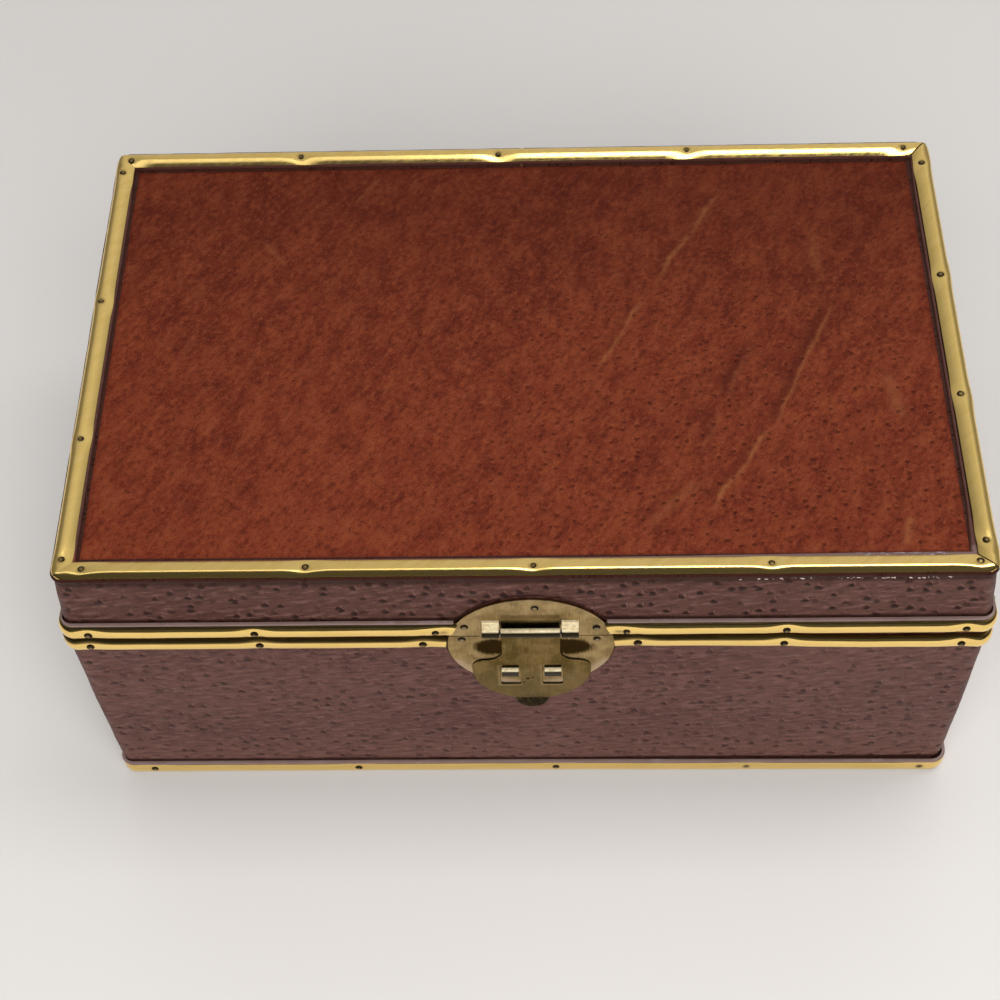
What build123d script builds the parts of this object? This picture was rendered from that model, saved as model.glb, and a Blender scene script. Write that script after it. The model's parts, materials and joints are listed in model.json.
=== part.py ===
from build123d import *
import math
import os

# Brass-bound leather trinket box, in millimetres.
# The origin is the centre of the underside: +X runs to the right, +Z up, and the latch faces -Y.

# The box over its leather walls
box_length = 250.0
box_depth = 156.0
box_height = 112.0
base_height = 83.8
lid_gap = 0.6
corner_radius = 3.0
lid_lean = 1.7

# Boards, leather, lining and underside cover
wall_board = 7.0
bottom_board = 6.0
top_board = 6.0
leather = 1.2
lining = 0.8
underside_cover = 0.8
cover_inset = 2.0

# Half-round brass strips and the rolled leather beside them
strip_width = 5.0
strip_rise = 2.2
strip_gap = 0.9
foot_lift = 0.3
top_overhang = 0.2
top_corner = 4.2
joint_gap = 0.3
roll_width = 1.6
roll_rise = 1.8
strip_edge = 0.4
section_flats = 5
bend_flats = 4
top_roll_width = 1.7
top_roll_rise = 1.0

# Round-headed brass nails
nail_head = 2.6
nail_dome = 0.7
nail_sunk = 0.2
nail_shank = 1.0
nail_length = 5.5
nail_sides = 8
nail_taper = 40.0

# Latch: a round plate, parted at the lid, with a hasp that drops over two staples
latch_shift = 1.7
plate_radius = 23.0
plate_drop = 5.0
plate_thick = 1.0
pin_height = 4.4
pin_out = 2.9
pin_radius = 0.75
pin_play = 0.05
barrel_radius = 1.45
barrel_length = 15.9
knuckle_width = 4.6
knuckle_play = 0.4
strap_height = 3.2
strap_thick = 0.6
hasp_thick = 0.9
hasp_play = 0.3
neck_width = 15.9
neck_drop = 8.0
lobe_radius = 16.4
lobe_drop = 18.6
neck_fillet = 4.6
slot_width = 5.6
slot_spacing = 11.8
slot_top = 15.4
slot_bottom = 26.4
staple_width = 4.7
staple_thick = 1.0
staple_top = 16.0
staple_bottom = 23.2
staple_reach = 2.8
tab_width = 9.2
tab_length = 3.0
tab_bend = 35.0
plate_nail_out = 18.0
plate_nail_low = 1.9
plate_nail_high = 4.3
plate_nail_top = 13.7

# Two butt hinges on the back
hinge_inset = 50.0
hinge_width = 24.0
hinge_leaf = 7.4
hinge_leaf_thick = 0.9
hinge_axis_out = 1.0
hinge_barrel = 1.6
hinge_pin_radius = 0.8
hinge_play = 0.05
hinge_end_play = 0.2
hinge_recess = 0.3
hinge_nail_edge = 3.4

# Nail places along each side, as shares of half that side, from left to right or front to back
top_front_nails = (-0.93, -0.455, 0.025, 0.525, 0.955)
top_back_nails = (-0.955, -0.55, -0.06, 0.41, 0.935)
top_left_nails = (-0.935, -0.42, 0.215, 0.875)
top_right_nails = (-0.885, -0.27, 0.29, 0.865)
lid_front_nails = (-0.94, -0.58, -0.19, 0.22, 0.56, 0.94)
base_front_nails = (-0.945, -0.575, -0.22, 0.245, 0.56, 0.94)
lid_back_nails = (-0.94, -0.32, 0.32, 0.94)
base_back_nails = (-0.78, -0.2, 0.2, 0.78)
rim_side_nails = (-0.9, -0.3, 0.3, 0.9)
foot_front_nails = (-0.925, -0.42, 0.065, 0.53, 0.95)
foot_back_nails = (-0.92, -0.46, 0.0, 0.46, 0.92)
foot_side_nails = (-0.88, -0.28, 0.32, 0.88)

# Heights and half sizes that follow from the sizes above
half_length = box_length / 2
half_depth = box_depth / 2
base_top = base_height - lid_gap / 2
lid_bottom = base_height + lid_gap / 2
lid_top = box_height - strip_rise
board_top = lid_top - leather
board_under = board_top - top_board
lean_angle = math.degrees(math.atan2(lid_lean, lid_top - base_height))
inner_length = box_length - 2 * (leather + wall_board)
inner_depth = box_depth - 2 * (leather + wall_board)
floor_top = underside_cover + bottom_board
pin_bore = pin_radius + pin_play
hinge_bore = hinge_pin_radius + hinge_play
hinge_place = half_length - hinge_inset
strip_middle = (strip_gap + strip_width) / 2

# How far a cutter reaches, past any edge of the box
far = 4 * box_length


def outline(outset, radius):
    """The box's plan, moved outward by outset, with rounded corners."""
    return RectangleRounded(box_length + 2 * outset, box_depth + 2 * outset, radius)


def bent_outline(outset, radius):
    """The plan of a strip bent round the box: its corners are drawn in a few flats."""
    points = []
    for turn, (side_x, side_y) in enumerate(((1, 1), (-1, 1), (-1, -1), (1, -1))):
        centre = Vector(side_x * (half_length + outset - radius),
                        side_y * (half_depth + outset - radius))
        for flat in range(bend_flats + 1):
            angle = math.radians(90 * (turn + flat / bend_flats))
            points.append(centre + radius * Vector(math.cos(angle), math.sin(angle)))
    return Polygon(*points, align=None)


def square_outline(outset):
    """The box's plan, moved outward by outset, with square corners."""
    return Rectangle(box_length + 2 * outset, box_depth + 2 * outset)


def plan_block(outset, low, high):
    """An upright block with the box's plan."""
    return Pos(0, 0, low) * extrude(outline(outset, corner_radius + outset), high - low)


def lean_at(height):
    """How far the lid's walls have leaned inward at a height."""
    return lid_lean * (height - base_height) / (lid_top - base_height)


def lid_block(outset, low, high):
    """A block with the lid's plan, whose walls lean inward from the parting line up."""
    sections = []
    for height in (low, high):
        plan = outline(outset - lean_at(height), corner_radius + outset)
        sections.append(Pos(0, 0, height) * plan)
    return loft(sections)


def inner_block(low, high, inset=0.0):
    """The square-cornered space between the wall boards."""
    plan = Rectangle(inner_length - 2 * inset, inner_depth - 2 * inset)
    return Pos(0, 0, low) * extrude(plan, high - low)


def rod(radius, length, middle=0.0):
    """A round bar along X, centred on a place along it."""
    return Pos(middle, 0, 0) * Rot(0, 90, 0) * Cylinder(radius, length)


def hinge_axis(side):
    """The place of one hinge's axis."""
    return Pos(side * hinge_place, half_depth + hinge_axis_out, base_height)


def split_walls(ring):
    """A ring of walls parted into front, back, left and right boards that butt at the corners."""
    between = Box(far, inner_depth, far)
    walls = {}
    for name, direction in (("front", -1), ("back", 1)):
        walls[name] = ring & Pos(0, direction * (inner_depth + far) / 2, 0) * Box(far, far, far)
    for name, direction in (("left", -1), ("right", 1)):
        walls[name] = ring & between & Pos(direction * far / 2, 0, 0) * Box(far, far, far)
    return walls


def half_round(width, rise):
    """A half-round section in a few flats: places across it, and how far it stands out there."""
    step = math.pi / section_flats
    points = []
    for index in range(section_flats + 1):
        angle = index * step - math.pi / 2
        stand = strip_edge + (rise - strip_edge) * math.cos(angle) / math.cos(step / 2)
        points.append((width / 2 * math.sin(angle), stand))
    return points


def wall_band(outset, low, high, rise, wall):
    """A half-round band round the walls, seated on the wall block."""
    middle = (low + high) / 2
    sections = []
    for place, stand in half_round(high - low, rise):
        plan = bent_outline(outset + stand, corner_radius + stand)
        sections.append(Pos(0, 0, middle + place) * plan)
    return loft(sections, ruled=True) - wall


def top_frame(outset, corner, width, rise):
    """A half-round frame on top of the lid, square in its inner corners."""
    outer = [Pos(0, 0, lid_top) * bent_outline(outset, corner)]
    inner = [Pos(0, 0, lid_top) * square_outline(outset - width)]
    for place, stand in half_round(width, rise):
        inset = width / 2 + place
        if place < 0:
            outer.append(Pos(0, 0, lid_top + stand) * bent_outline(outset - inset, corner - inset))
            inner.append(Pos(0, 0, lid_top + stand) * square_outline(outset - width + inset))
    return loft(outer, ruled=True) - loft(inner, ruled=True)


def latch_hole():
    """The round clearance that the strips and rolls leave for the latch plate."""
    radius = plate_radius + joint_gap
    centre = Plane(origin=(latch_shift, 0, base_height - plate_drop), z_dir=(0, -1, 0))
    return centre * extrude(Circle(radius), far)


def hinge_gap(side):
    """The clearance that the strips and rolls leave for one hinge."""
    width = hinge_width + 2 * joint_gap
    return Pos(side * hinge_place, half_depth, base_height) * Box(width, half_depth, far)


def part_band(band):
    """A band parted at the latch and hinges into its left, right and back runs."""
    band = band - latch_hole() - hinge_gap(-1) - hinge_gap(1)
    runs = band.solids().sort_by(Axis.X)
    return {"left": runs[0], "back": runs[1], "right": runs[2]}


def boards():
    """Wooden boards of the base and the lid."""
    parts = {}
    base_ring = plan_block(-leather, underside_cover, base_top)
    base_ring = base_ring - inner_block(0, far)
    for name, wall in split_walls(base_ring).items():
        parts[f"base_{name}_board"] = wall
    parts["base_bottom_board"] = inner_block(underside_cover, floor_top)
    lid_ring = lid_block(-leather, lid_bottom, board_under)
    lid_ring = lid_ring - inner_block(0, far)
    for name, wall in split_walls(lid_ring).items():
        parts[f"lid_{name}_rail"] = wall
    parts["lid_top_board"] = lid_block(-leather, board_under, board_top)
    return parts


def hinge_grooves():
    """The round grooves in the back leather that clear the hinge barrels."""
    groove = rod(hinge_barrel + hinge_recess, hinge_width + 2 * joint_gap)
    return [hinge_axis(side) * groove for side in (-1, 1)]


def leathers():
    """Leather on the walls and top, and the cover under the box."""
    top_inset = lid_lean - top_overhang + strip_width + top_roll_width
    window = square_outline(-top_inset)
    base_wrap = plan_block(0, underside_cover, base_top)
    base_wrap = base_wrap - plan_block(-leather, 0, far)
    lid_wrap = lid_block(0, lid_bottom, lid_top)
    lid_wrap = lid_wrap - lid_block(-leather, lid_bottom, board_top)
    lid_wrap = lid_wrap - extrude(window, far)
    for groove in hinge_grooves():
        base_wrap = base_wrap - groove
        lid_wrap = lid_wrap - groove
    return {
        "base_leather": base_wrap,
        "lid_leather": lid_wrap,
        "top_leather": Pos(0, 0, board_top) * extrude(window, leather),
        "underside_cover": extrude(square_outline(-cover_inset), underside_cover),
    }


def linings():
    """Cloth lining of the base and the lid."""
    lid_lining_under = board_under - lining
    wall_low = floor_top + lining
    base_walls = inner_block(wall_low, base_top) - inner_block(wall_low, base_top, lining)
    lid_walls = inner_block(lid_bottom, lid_lining_under)
    lid_walls = lid_walls - inner_block(lid_bottom, lid_lining_under, lining)
    return {
        "base_floor_lining": inner_block(floor_top, wall_low),
        "base_wall_lining": base_walls,
        "lid_wall_lining": lid_walls,
        "lid_top_lining": inner_block(lid_lining_under, board_under),
    }


def rim_and_foot_strips():
    """Brass strips and leather rolls round the parting line and the foot."""
    parts = {}
    base_wall = plan_block(0, -far, far)
    lid_wall = lid_block(0, base_height, lid_top)
    lid_low = base_height + strip_gap / 2
    lid_high = lid_low + strip_width
    lean = lean_at(base_height + strip_middle)
    lid_strip = wall_band(-lean, lid_low, lid_high, strip_rise, lid_wall)
    lid_roll = wall_band(-lean, lid_high, lid_high + roll_width, roll_rise, lid_wall)
    base_high = base_height - strip_gap / 2
    base_strip = wall_band(0, base_high - strip_width, base_high, strip_rise, base_wall)
    for name, band in (("lid_rim_strip", lid_strip), ("lid_rim_roll", lid_roll),
                       ("base_rim_strip", base_strip)):
        for side, run in part_band(band).items():
            parts[f"{name}_{side}"] = run
    foot_high = foot_lift + strip_width
    back_joint = Pos(0, half_depth, 0) * Box(joint_gap, half_depth, far)
    foot_strip = wall_band(0, foot_lift, foot_high, strip_rise, base_wall)
    foot_roll = wall_band(0, foot_high, foot_high + roll_width, roll_rise, base_wall)
    parts["foot_strip"] = foot_strip - back_joint
    parts["foot_roll"] = foot_roll - back_joint
    return parts


def top_strips():
    """Brass strips along the top edges: one bent round three sides, one mitred on the right."""
    outset = top_overhang - lid_lean
    frame = top_frame(outset, top_corner, strip_width, strip_rise)
    corner_x = half_length + outset - top_corner / 2
    for direction in (-1, 1):
        corner_y = direction * (half_depth + outset - top_corner / 2)
        saw = Rot(0, 0, direction * 45) * Box(4 * strip_width, joint_gap, far)
        frame = frame - Pos(corner_x, corner_y, 0) * saw
    runs = frame.solids().sort_by(Axis.X)
    roll = top_frame(outset - strip_width, top_roll_width, top_roll_width, top_roll_rise)
    return {"top_strip": runs[0], "top_strip_right": runs[1], "top_roll": roll}


def front_face():
    """The upright front wall of the base: X along it, Y up from the parting line, Z outward."""
    return Plane(origin=(latch_shift, -half_depth, base_height), x_dir=(1, 0, 0),
                 z_dir=(0, -1, 0))


def lid_face():
    """The leaning front wall of the lid, with the same directions."""
    lean = math.radians(lean_angle)
    return Plane(origin=(latch_shift, -half_depth, base_height), x_dir=(1, 0, 0),
                 z_dir=(0, -math.cos(lean), math.sin(lean)))


def lid_back_face(side):
    """The leaning back wall of the lid at one hinge: X along it, Y up, Z outward."""
    lean = math.radians(lean_angle)
    return Plane(origin=(side * hinge_place, half_depth, base_height),
                 x_dir=(-1, 0, 0), z_dir=(0, math.cos(lean), math.sin(lean)))


def base_back_face(side):
    """The upright back wall of the base at one hinge."""
    return Plane(origin=(side * hinge_place, half_depth, base_height),
                 x_dir=(-1, 0, 0), z_dir=(0, 1, 0))


def latch_pin_point():
    """The middle of the hasp's pivot axis, in the box's frame."""
    return lid_face().from_local_coords(Vector(0, pin_height, pin_out))


def latch_plates():
    """The round latch plate, parted in a straight line between the lid and the base."""
    disc = Pos(0, -plate_drop, 0) * extrude(Circle(plate_radius), plate_thick)
    half = Box(far, far, far)
    shift = (far + lid_gap) / 2
    upper = disc & Pos(0, shift, 0) * half
    lower = disc & Pos(0, -shift, 0) * half
    return {"latch_upper_plate": lid_face() * upper, "latch_lower_plate": front_face() * lower}


def knuckle(side):
    """A strap that lies on the upper plate and wraps round the latch pin."""
    centre_y, centre_z = pin_height, pin_out
    strap_top = pin_height + strap_height
    web = Polygon((plate_thick, pin_height), (centre_z, centre_y + barrel_radius),
                  (plate_thick + strap_thick, strap_top), (plate_thick, strap_top), align=None)
    profile = Pos(centre_z, centre_y) * Circle(barrel_radius) + web
    profile = profile - Pos(centre_z, centre_y) * Circle(pin_radius)
    profile = profile - Pos(plate_thick / 2, pin_height) * Rectangle(plate_thick, far)
    place = side * (barrel_length / 2 + knuckle_play + knuckle_width / 2)
    section = Plane(origin=(place + knuckle_width / 2, 0, 0), x_dir=(0, 0, 1), z_dir=(-1, 0, 0))
    return lid_face() * (section * extrude(profile, knuckle_width))


def latch_pin():
    """The pin through both knuckles and the hasp's barrel."""
    length = barrel_length + 2 * (knuckle_play + knuckle_width)
    return Pos(latch_pin_point()) * rod(pin_radius, length)


def hasp_outline():
    """The hasp seen from the front: a neck that flares into a round lobe, in the wall's plane."""
    neck = neck_width / 2
    shoulder_radius = lobe_radius - neck - neck_fillet
    turn = math.sqrt(0.5)
    top = Vector(neck, pin_height)
    flare = Vector(neck, -neck_drop)
    ledge = flare + Vector(neck_fillet, -neck_fillet)
    flare_mid = ledge - Vector(neck_fillet * turn, neck_fillet * (turn - 1))
    shoulder = ledge + Vector(shoulder_radius, -shoulder_radius)
    shoulder_mid = ledge + Vector(shoulder_radius * turn, shoulder_radius * (turn - 1))
    waist = Vector(lobe_radius, -lobe_drop)
    right = Curve() + [
        Line(top, flare),
        ThreePointArc(flare, flare_mid, ledge),
        ThreePointArc(ledge, shoulder_mid, shoulder),
        Line(shoulder, waist),
    ]
    bottom = ThreePointArc(waist, Vector(0, -lobe_drop - lobe_radius), Vector(-waist.X, waist.Y))
    across = Line(top, Vector(-neck, pin_height))
    return make_face((right + mirror(right, Plane.YZ) + bottom + across).edges())


def thumb_tab(back):
    """The half-round tab at the hasp's foot, bent outward for a thumb."""
    chord_drop = math.sqrt(lobe_radius ** 2 - (tab_width / 2) ** 2)
    bend = math.radians(tab_bend)
    fold = Plane(origin=(latch_shift, -half_depth - back - hasp_thick,
                         base_height - lobe_drop - chord_drop),
                 x_dir=(1, 0, 0), z_dir=(0, -math.cos(bend), math.sin(bend)))
    half_ellipse = Ellipse(tab_width / 2, tab_length) & Pos(0, -far / 2) * Rectangle(far, far)
    return fold * (Pos(0, 0, -hasp_thick) * extrude(half_ellipse, hasp_thick))


def hasp():
    """The hanging hasp: barrel, flared plate with two slots, and an out-bent thumb tab."""
    pin = latch_pin_point()
    back = plate_thick + hasp_play
    face = hasp_outline()
    slot_height = slot_bottom - slot_top
    for side in (-1, 1):
        middle = Pos(side * slot_spacing / 2, -(slot_top + slot_bottom) / 2)
        face = face - middle * Rectangle(slot_width, slot_height)
    plate = front_face() * (Pos(0, 0, back) * extrude(face, hasp_thick))
    barrel = Pos(pin) * rod(barrel_radius, barrel_length)
    bore = Pos(pin) * rod(pin_bore, far)
    return plate + thumb_tab(back) + barrel - bore


def staple(side):
    """A flat strap bent into an eye, standing out of the lower plate through a slot."""
    height = staple_bottom - staple_top
    reach = hasp_play + hasp_thick + staple_reach
    middle = -(staple_top + staple_bottom) / 2
    outer = SlotOverall(2 * reach, height, rotation=0)
    inner = SlotOverall(2 * (reach - staple_thick), height - 2 * staple_thick, rotation=0)
    front = Pos(far / 2, 0) * Rectangle(far, far)
    section = Plane(origin=(side * slot_spacing / 2 + staple_width / 2, middle, plate_thick),
                    x_dir=(0, 0, 1), z_dir=(-1, 0, 0))
    return front_face() * (section * extrude((outer - inner) & front, staple_width))


def hinge(side):
    """A butt hinge: the lid's leaf has the middle knuckle, the base's leaf the outer two."""
    third = hinge_width / 3
    clear = hinge_barrel + hinge_end_play
    height = hinge_leaf - lid_gap / 2
    middle = Pos(0, lid_gap / 2 + height / 2, hinge_leaf_thick / 2)
    leaf = middle * Box(hinge_width, height, hinge_leaf_thick)
    base_leaf = base_back_face(side) * mirror(leaf, Plane.XZ)
    lid_leaf = lid_back_face(side) * leaf
    axis = hinge_axis(side)
    base_leaf = base_leaf - axis * rod(clear, third + hinge_end_play)
    lid_leaf = lid_leaf + axis * rod(hinge_barrel, third - hinge_end_play)
    for end in (-third, third):
        lid_leaf = lid_leaf - axis * rod(clear, third + hinge_end_play, end)
        base_leaf = base_leaf + axis * rod(hinge_barrel, third - hinge_end_play, end)
    base_leaf = base_leaf - axis * rod(hinge_pin_radius, far)
    lid_leaf = lid_leaf - axis * rod(hinge_bore, far)
    return base_leaf, lid_leaf, axis * rod(hinge_pin_radius, hinge_width)


def nail():
    """A small round-headed nail on the face it is driven into, its head outward along +Z."""
    head = extrude(RegularPolygon(nail_head / 2, nail_sides), nail_dome, taper=nail_taper)
    length = nail_length + nail_sunk
    shank = loft([Rectangle(nail_shank, nail_shank), Vertex(0, 0, -length)])
    return Pos(0, 0, -nail_sunk) * (head + shank)


def nails_at(places):
    """A group of separate nails at the given planes."""
    one = nail()
    return Compound(children=[place * one for place in places])


def side_planes(height, rise, outset, shares, side):
    """Planes along one side of the box, facing outward from the crest of a strip."""
    reach = rise + outset
    planes = []
    for share in shares:
        if side in ("front", "back"):
            direction = -1 if side == "front" else 1
            origin = (share * half_length, direction * (half_depth + reach), height)
            planes.append(Plane(origin=origin, x_dir=(1, 0, 0), z_dir=(0, direction, 0)))
        else:
            direction = -1 if side == "left" else 1
            origin = (direction * (half_length + reach), share * half_depth, height)
            planes.append(Plane(origin=origin, x_dir=(0, 1, 0), z_dir=(direction, 0, 0)))
    return planes


def top_planes():
    """Planes on the crest of the top strips, facing up."""
    inset = lid_lean - top_overhang + strip_width / 2
    reach_x = half_length - inset
    reach_y = half_depth - inset
    places = [(share * half_length, -reach_y) for share in top_front_nails]
    places += [(share * half_length, reach_y) for share in top_back_nails]
    places += [(-reach_x, share * half_depth) for share in top_left_nails]
    places += [(reach_x, share * half_depth) for share in top_right_nails]
    return [Plane(origin=(x, y, box_height)) for x, y in places]


def strip_nails():
    """The nails that hold the brass strips."""
    lean = -lean_at(base_height + strip_middle)
    rows = {
        "lid_rim_nails": (base_height + strip_middle, lean,
                          lid_front_nails, lid_back_nails, rim_side_nails),
        "base_rim_nails": (base_height - strip_middle, 0.0,
                           base_front_nails, base_back_nails, rim_side_nails),
        "foot_nails": (foot_lift + strip_width / 2, 0.0,
                       foot_front_nails, foot_back_nails, foot_side_nails),
    }
    parts = {"top_nails": nails_at(top_planes())}
    for name, (height, outset, front, back, sides) in rows.items():
        planes = side_planes(height, strip_rise, outset, front, "front")
        planes += side_planes(height, strip_rise, outset, back, "back")
        planes += side_planes(height, strip_rise, outset, sides, "left")
        planes += side_planes(height, strip_rise, outset, sides, "right")
        parts[name] = nails_at(planes)
    return parts


def fitting_nails():
    """The nails that hold the latch plates and the hinge leaves."""
    face = front_face()
    lean_face = lid_face()
    upper = [(0, plate_nail_top)] + [(side * plate_nail_out, plate_nail_high) for side in (-1, 1)]
    lower = [(side * plate_nail_out, -plate_nail_low) for side in (-1, 1)]
    lid_places = [lean_face * Pos(x, y, plate_thick) for x, y in upper]
    base_places = [face * Pos(x, y, plate_thick) for x, y in lower]
    row = hinge_leaf - nail_head
    for side in (-1, 1):
        for place in (-1, 0, 1):
            x = place * (hinge_width / 2 - hinge_nail_edge)
            lid_places.append(lid_back_face(side) * Pos(x, row, hinge_leaf_thick))
            base_places.append(base_back_face(side) * Pos(x, -row, hinge_leaf_thick))
    return {"lid_fitting_nails": nails_at(lid_places), "base_fitting_nails": nails_at(base_places)}


def latch_and_hinges():
    """Every brass fitting of the latch and the two hinges."""
    parts = latch_plates()
    for name, side in (("left", -1), ("right", 1)):
        parts[f"knuckle_{name}"] = knuckle(side)
        parts[f"staple_{name}"] = staple(side)
        base_leaf, lid_leaf, pin = hinge(side)
        parts[f"hinge_{name}_base_leaf"] = base_leaf
        parts[f"hinge_{name}_lid_leaf"] = lid_leaf
        parts[f"hinge_{name}_pin"] = pin
    parts["latch_pin"] = latch_pin()
    parts["hasp"] = hasp()
    return parts


def all_parts():
    """Every piece of the box by name."""
    parts = boards()
    parts.update(leathers())
    parts.update(linings())
    parts.update(rim_and_foot_strips())
    parts.update(top_strips())
    parts.update(latch_and_hinges())
    parts.update(strip_nails())
    parts.update(fitting_nails())
    return parts


os.makedirs("parts", exist_ok=True)
for name, shape in all_parts().items():
    export_step(shape, f"parts/{name}.step")
    print(name, len(shape.solids()), round(shape.volume, 1))
print("hasp axis", latch_pin_point())
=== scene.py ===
"""Looks of a brass-bound leather trinket box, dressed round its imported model.

Lengths in the mesh code are millimetres in the box's own frame, and each mesh is turned into
metres when it is made. The latch faces -Y and the hinges are at the back.
"""
import json
import math

import bmesh
import bpy
import numpy as np
from mathutils import Matrix, Vector, noise


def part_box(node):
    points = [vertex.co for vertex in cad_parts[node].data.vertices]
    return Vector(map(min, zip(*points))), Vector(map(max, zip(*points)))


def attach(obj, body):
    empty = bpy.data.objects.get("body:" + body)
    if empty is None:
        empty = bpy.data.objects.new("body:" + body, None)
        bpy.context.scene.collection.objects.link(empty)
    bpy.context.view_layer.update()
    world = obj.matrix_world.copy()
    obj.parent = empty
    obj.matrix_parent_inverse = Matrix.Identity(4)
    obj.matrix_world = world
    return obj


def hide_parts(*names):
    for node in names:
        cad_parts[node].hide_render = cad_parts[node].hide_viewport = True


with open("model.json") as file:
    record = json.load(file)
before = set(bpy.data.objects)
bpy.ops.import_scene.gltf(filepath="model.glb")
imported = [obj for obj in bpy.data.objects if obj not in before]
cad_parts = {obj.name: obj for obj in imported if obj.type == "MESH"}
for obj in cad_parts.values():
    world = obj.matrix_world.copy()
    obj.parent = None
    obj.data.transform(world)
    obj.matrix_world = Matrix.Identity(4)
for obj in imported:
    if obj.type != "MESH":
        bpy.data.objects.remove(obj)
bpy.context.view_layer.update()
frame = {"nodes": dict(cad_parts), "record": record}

MM = 0.001


def box_mm(node):
    """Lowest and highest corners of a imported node, in millimetres."""
    low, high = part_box(node)
    return np.array(low) / MM, np.array(high) / MM


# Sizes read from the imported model
base_low, base_high = box_mm("base_leather")
lid_low, lid_high = box_mm("lid_leather")
half_length, half_depth = base_high[0], base_high[1]
parting = (base_high[2] + lid_low[2]) / 2
lid_top = lid_high[2]
top_high = box_mm("top_strip")[1]
window_low, window_high = box_mm("top_leather")
top_roll_high = box_mm("top_roll")[1]
plate_low, plate_high = box_mm("latch_lower_plate")
plate_x = (plate_low[0] + plate_high[0]) / 2
plate_radius = (plate_high[0] - plate_low[0]) / 2
plate_thick = -half_depth - plate_low[1]
hinge_low, hinge_high = box_mm("hinge_right_base_leaf")
lid_roll_low, lid_roll_high = box_mm("lid_rim_roll_left")
foot_roll_low, foot_roll_high = box_mm("foot_roll")
rim_under = box_mm("base_rim_strip_left")[0][2]

# Sizes that the model shares with its drawing
corner_radius = 3.0
top_corner = 4.2
lid_lean = 1.7
leather_thick = 1.2
fitting_gap = 0.3

# The round plate: how far its middle is under the parting line, how far each part keeps from that
# line, how flat the upper part is, how soft the edges are, and its finished radius
plate_drop = 5.0
plate_cut = 0.08
plate_squash = 0.955
plate_edge = 0.18
plate_reach = plate_radius - 0.25

# The latch pin's place on the leaning lid, the hasp's barrel and the knuckles round the pin
latch_pin_up = 4.4
latch_pin_out = 2.9
barrel_radius = 1.32
barrel_length = 15.9
knuckle_width = 4.6
knuckle_thick = 0.7
knuckle_radius = 1.45
knuckle_gap = 0.4
pin_radius = 0.75
lean_angle = math.atan2(lid_lean, lid_top - parting)
pin_height = parting + latch_pin_up * math.cos(lean_angle) + latch_pin_out * math.sin(lean_angle)

# The hasp, its slots and its thumb tab, with heights down from the parting line
hasp_out = plate_thick + 0.04
hasp_thick = 0.4
hasp_edge = 0.16
hasp_neck = 7.95
hasp_fillet = 4.6
neck_down = 8.0
hasp_lobe = 16.4
lobe_down = 18.6
slot_aside = 5.9
slot_down = 20.9
slot_width = 5.6
slot_height = 11.0
tab_half = 4.6
tab_length = 3.0
tab_root = 0.6
tab_bend = math.radians(35.0)

# The staples that come through the slots
staple_thick = 0.9
staple_width = 4.7
staple_top = 16.5
staple_bottom = 20.0
staple_reach = hasp_out + hasp_thick + 1.45
staple_hidden = 1.5

# Shares that the rolls and the foot strip keep of their solids' (width, rise)
lid_roll_slim = (0.48, 0.48)
foot_roll_slim = (0.65, 0.55)
foot_strip_slim = (1.0, 0.52)

# Strips and rolls rise less on the left and right sides, and their nails sink with them; round the
# foot, the strip and the roll stand out on the right side by a little
left_slim = 0.42
right_slim = 0.34
foot_roll_left_slim = 0.2
left_sunk = 0.9
right_sunk = 0.7
foot_sunk = 1.0
foot_right_out = 0.6

# The lid's top is a little out of square: how far its edges move along x, at the front and the back
left_front_move = 1.0
left_back_move = -0.7
right_move = -1.4

# The base's rim strip sags towards its right front corner, and is level again by the right side's back
sag_depth = 1.7
sag_start = 40.0
sag_end = 100.0
sag_gone = 50.0

# Where the walls meet the top of each roll
roll_top = lid_roll_low[2] + lid_roll_slim[0] * (lid_roll_high[2] - lid_roll_low[2])
foot_top = foot_roll_low[2] + foot_roll_slim[0] * (foot_roll_high[2] - foot_roll_low[2])

# The strips of the top, and the leather lip that wraps their outer edge
top_strip_width = 5.4
top_strip_out = 0.3
strip_bend = 2.25
strip_fall = 1.15
lip_rise = 1.05
lip_tucked = 0.6
mitre_joint = 0.35
top_roll_width = 1.0
panel_tuck = 1.0

# How finely the long pieces are divided
station_step = 1.2
bend_step = 0.35
nail_step = 0.4
by_nail = 5.0
search_step = 0.5
leather_step = 0.6
wall_row_step = 0.8
top_roll_step = 1.0

# Edges that meet at less than these angles are shaded smooth
round_smooth = 60.0
gentle_smooth = 50.0
strap_smooth = 40.0
plate_smooth = 35.0

# Hand-made wander of the strips and rolls round the walls, as (depth, pitch)
drift = (0.10, 23.0)
swell = (0.05, 11.0)
floor_clear = 0.03

# Their ends beside the latch bend to the plate's edge over a length, and reach a little under it
bent_end = 8.0
under_plate = 0.6

# Tarnish at a strip's edges, and painted shade where the shut lid hides it, as (amount, start,
# reach) in shares of its half height, and where along x the lid stops hiding the base's strip
edge_tarnish = (0.75, 0.82, 0.08)
hidden_shade = (0.8, 0.35, 0.3)
hidden_until = 50.0
hidden_fade = 40.0

# Nails: how they pull the thin strip in round their heads, how deep they stand and how uneven they are
dent_reach = 3.9
dent_flatten = 0.18
dent_widen = 0.15
top_dent = 0.14
top_spread = 0.28
top_nail_sunk = 0.33
seat_reach = 1.6
seat_depth = 0.12
tarnish_reach = 1.5
nail_drop = 0.42
nail_radius = 1.12
nail_height = 0.46
nail_tilt = 0.12
nail_uneven = 0.06
cad_head = 0.5


# Shader values as plain expressions

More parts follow.
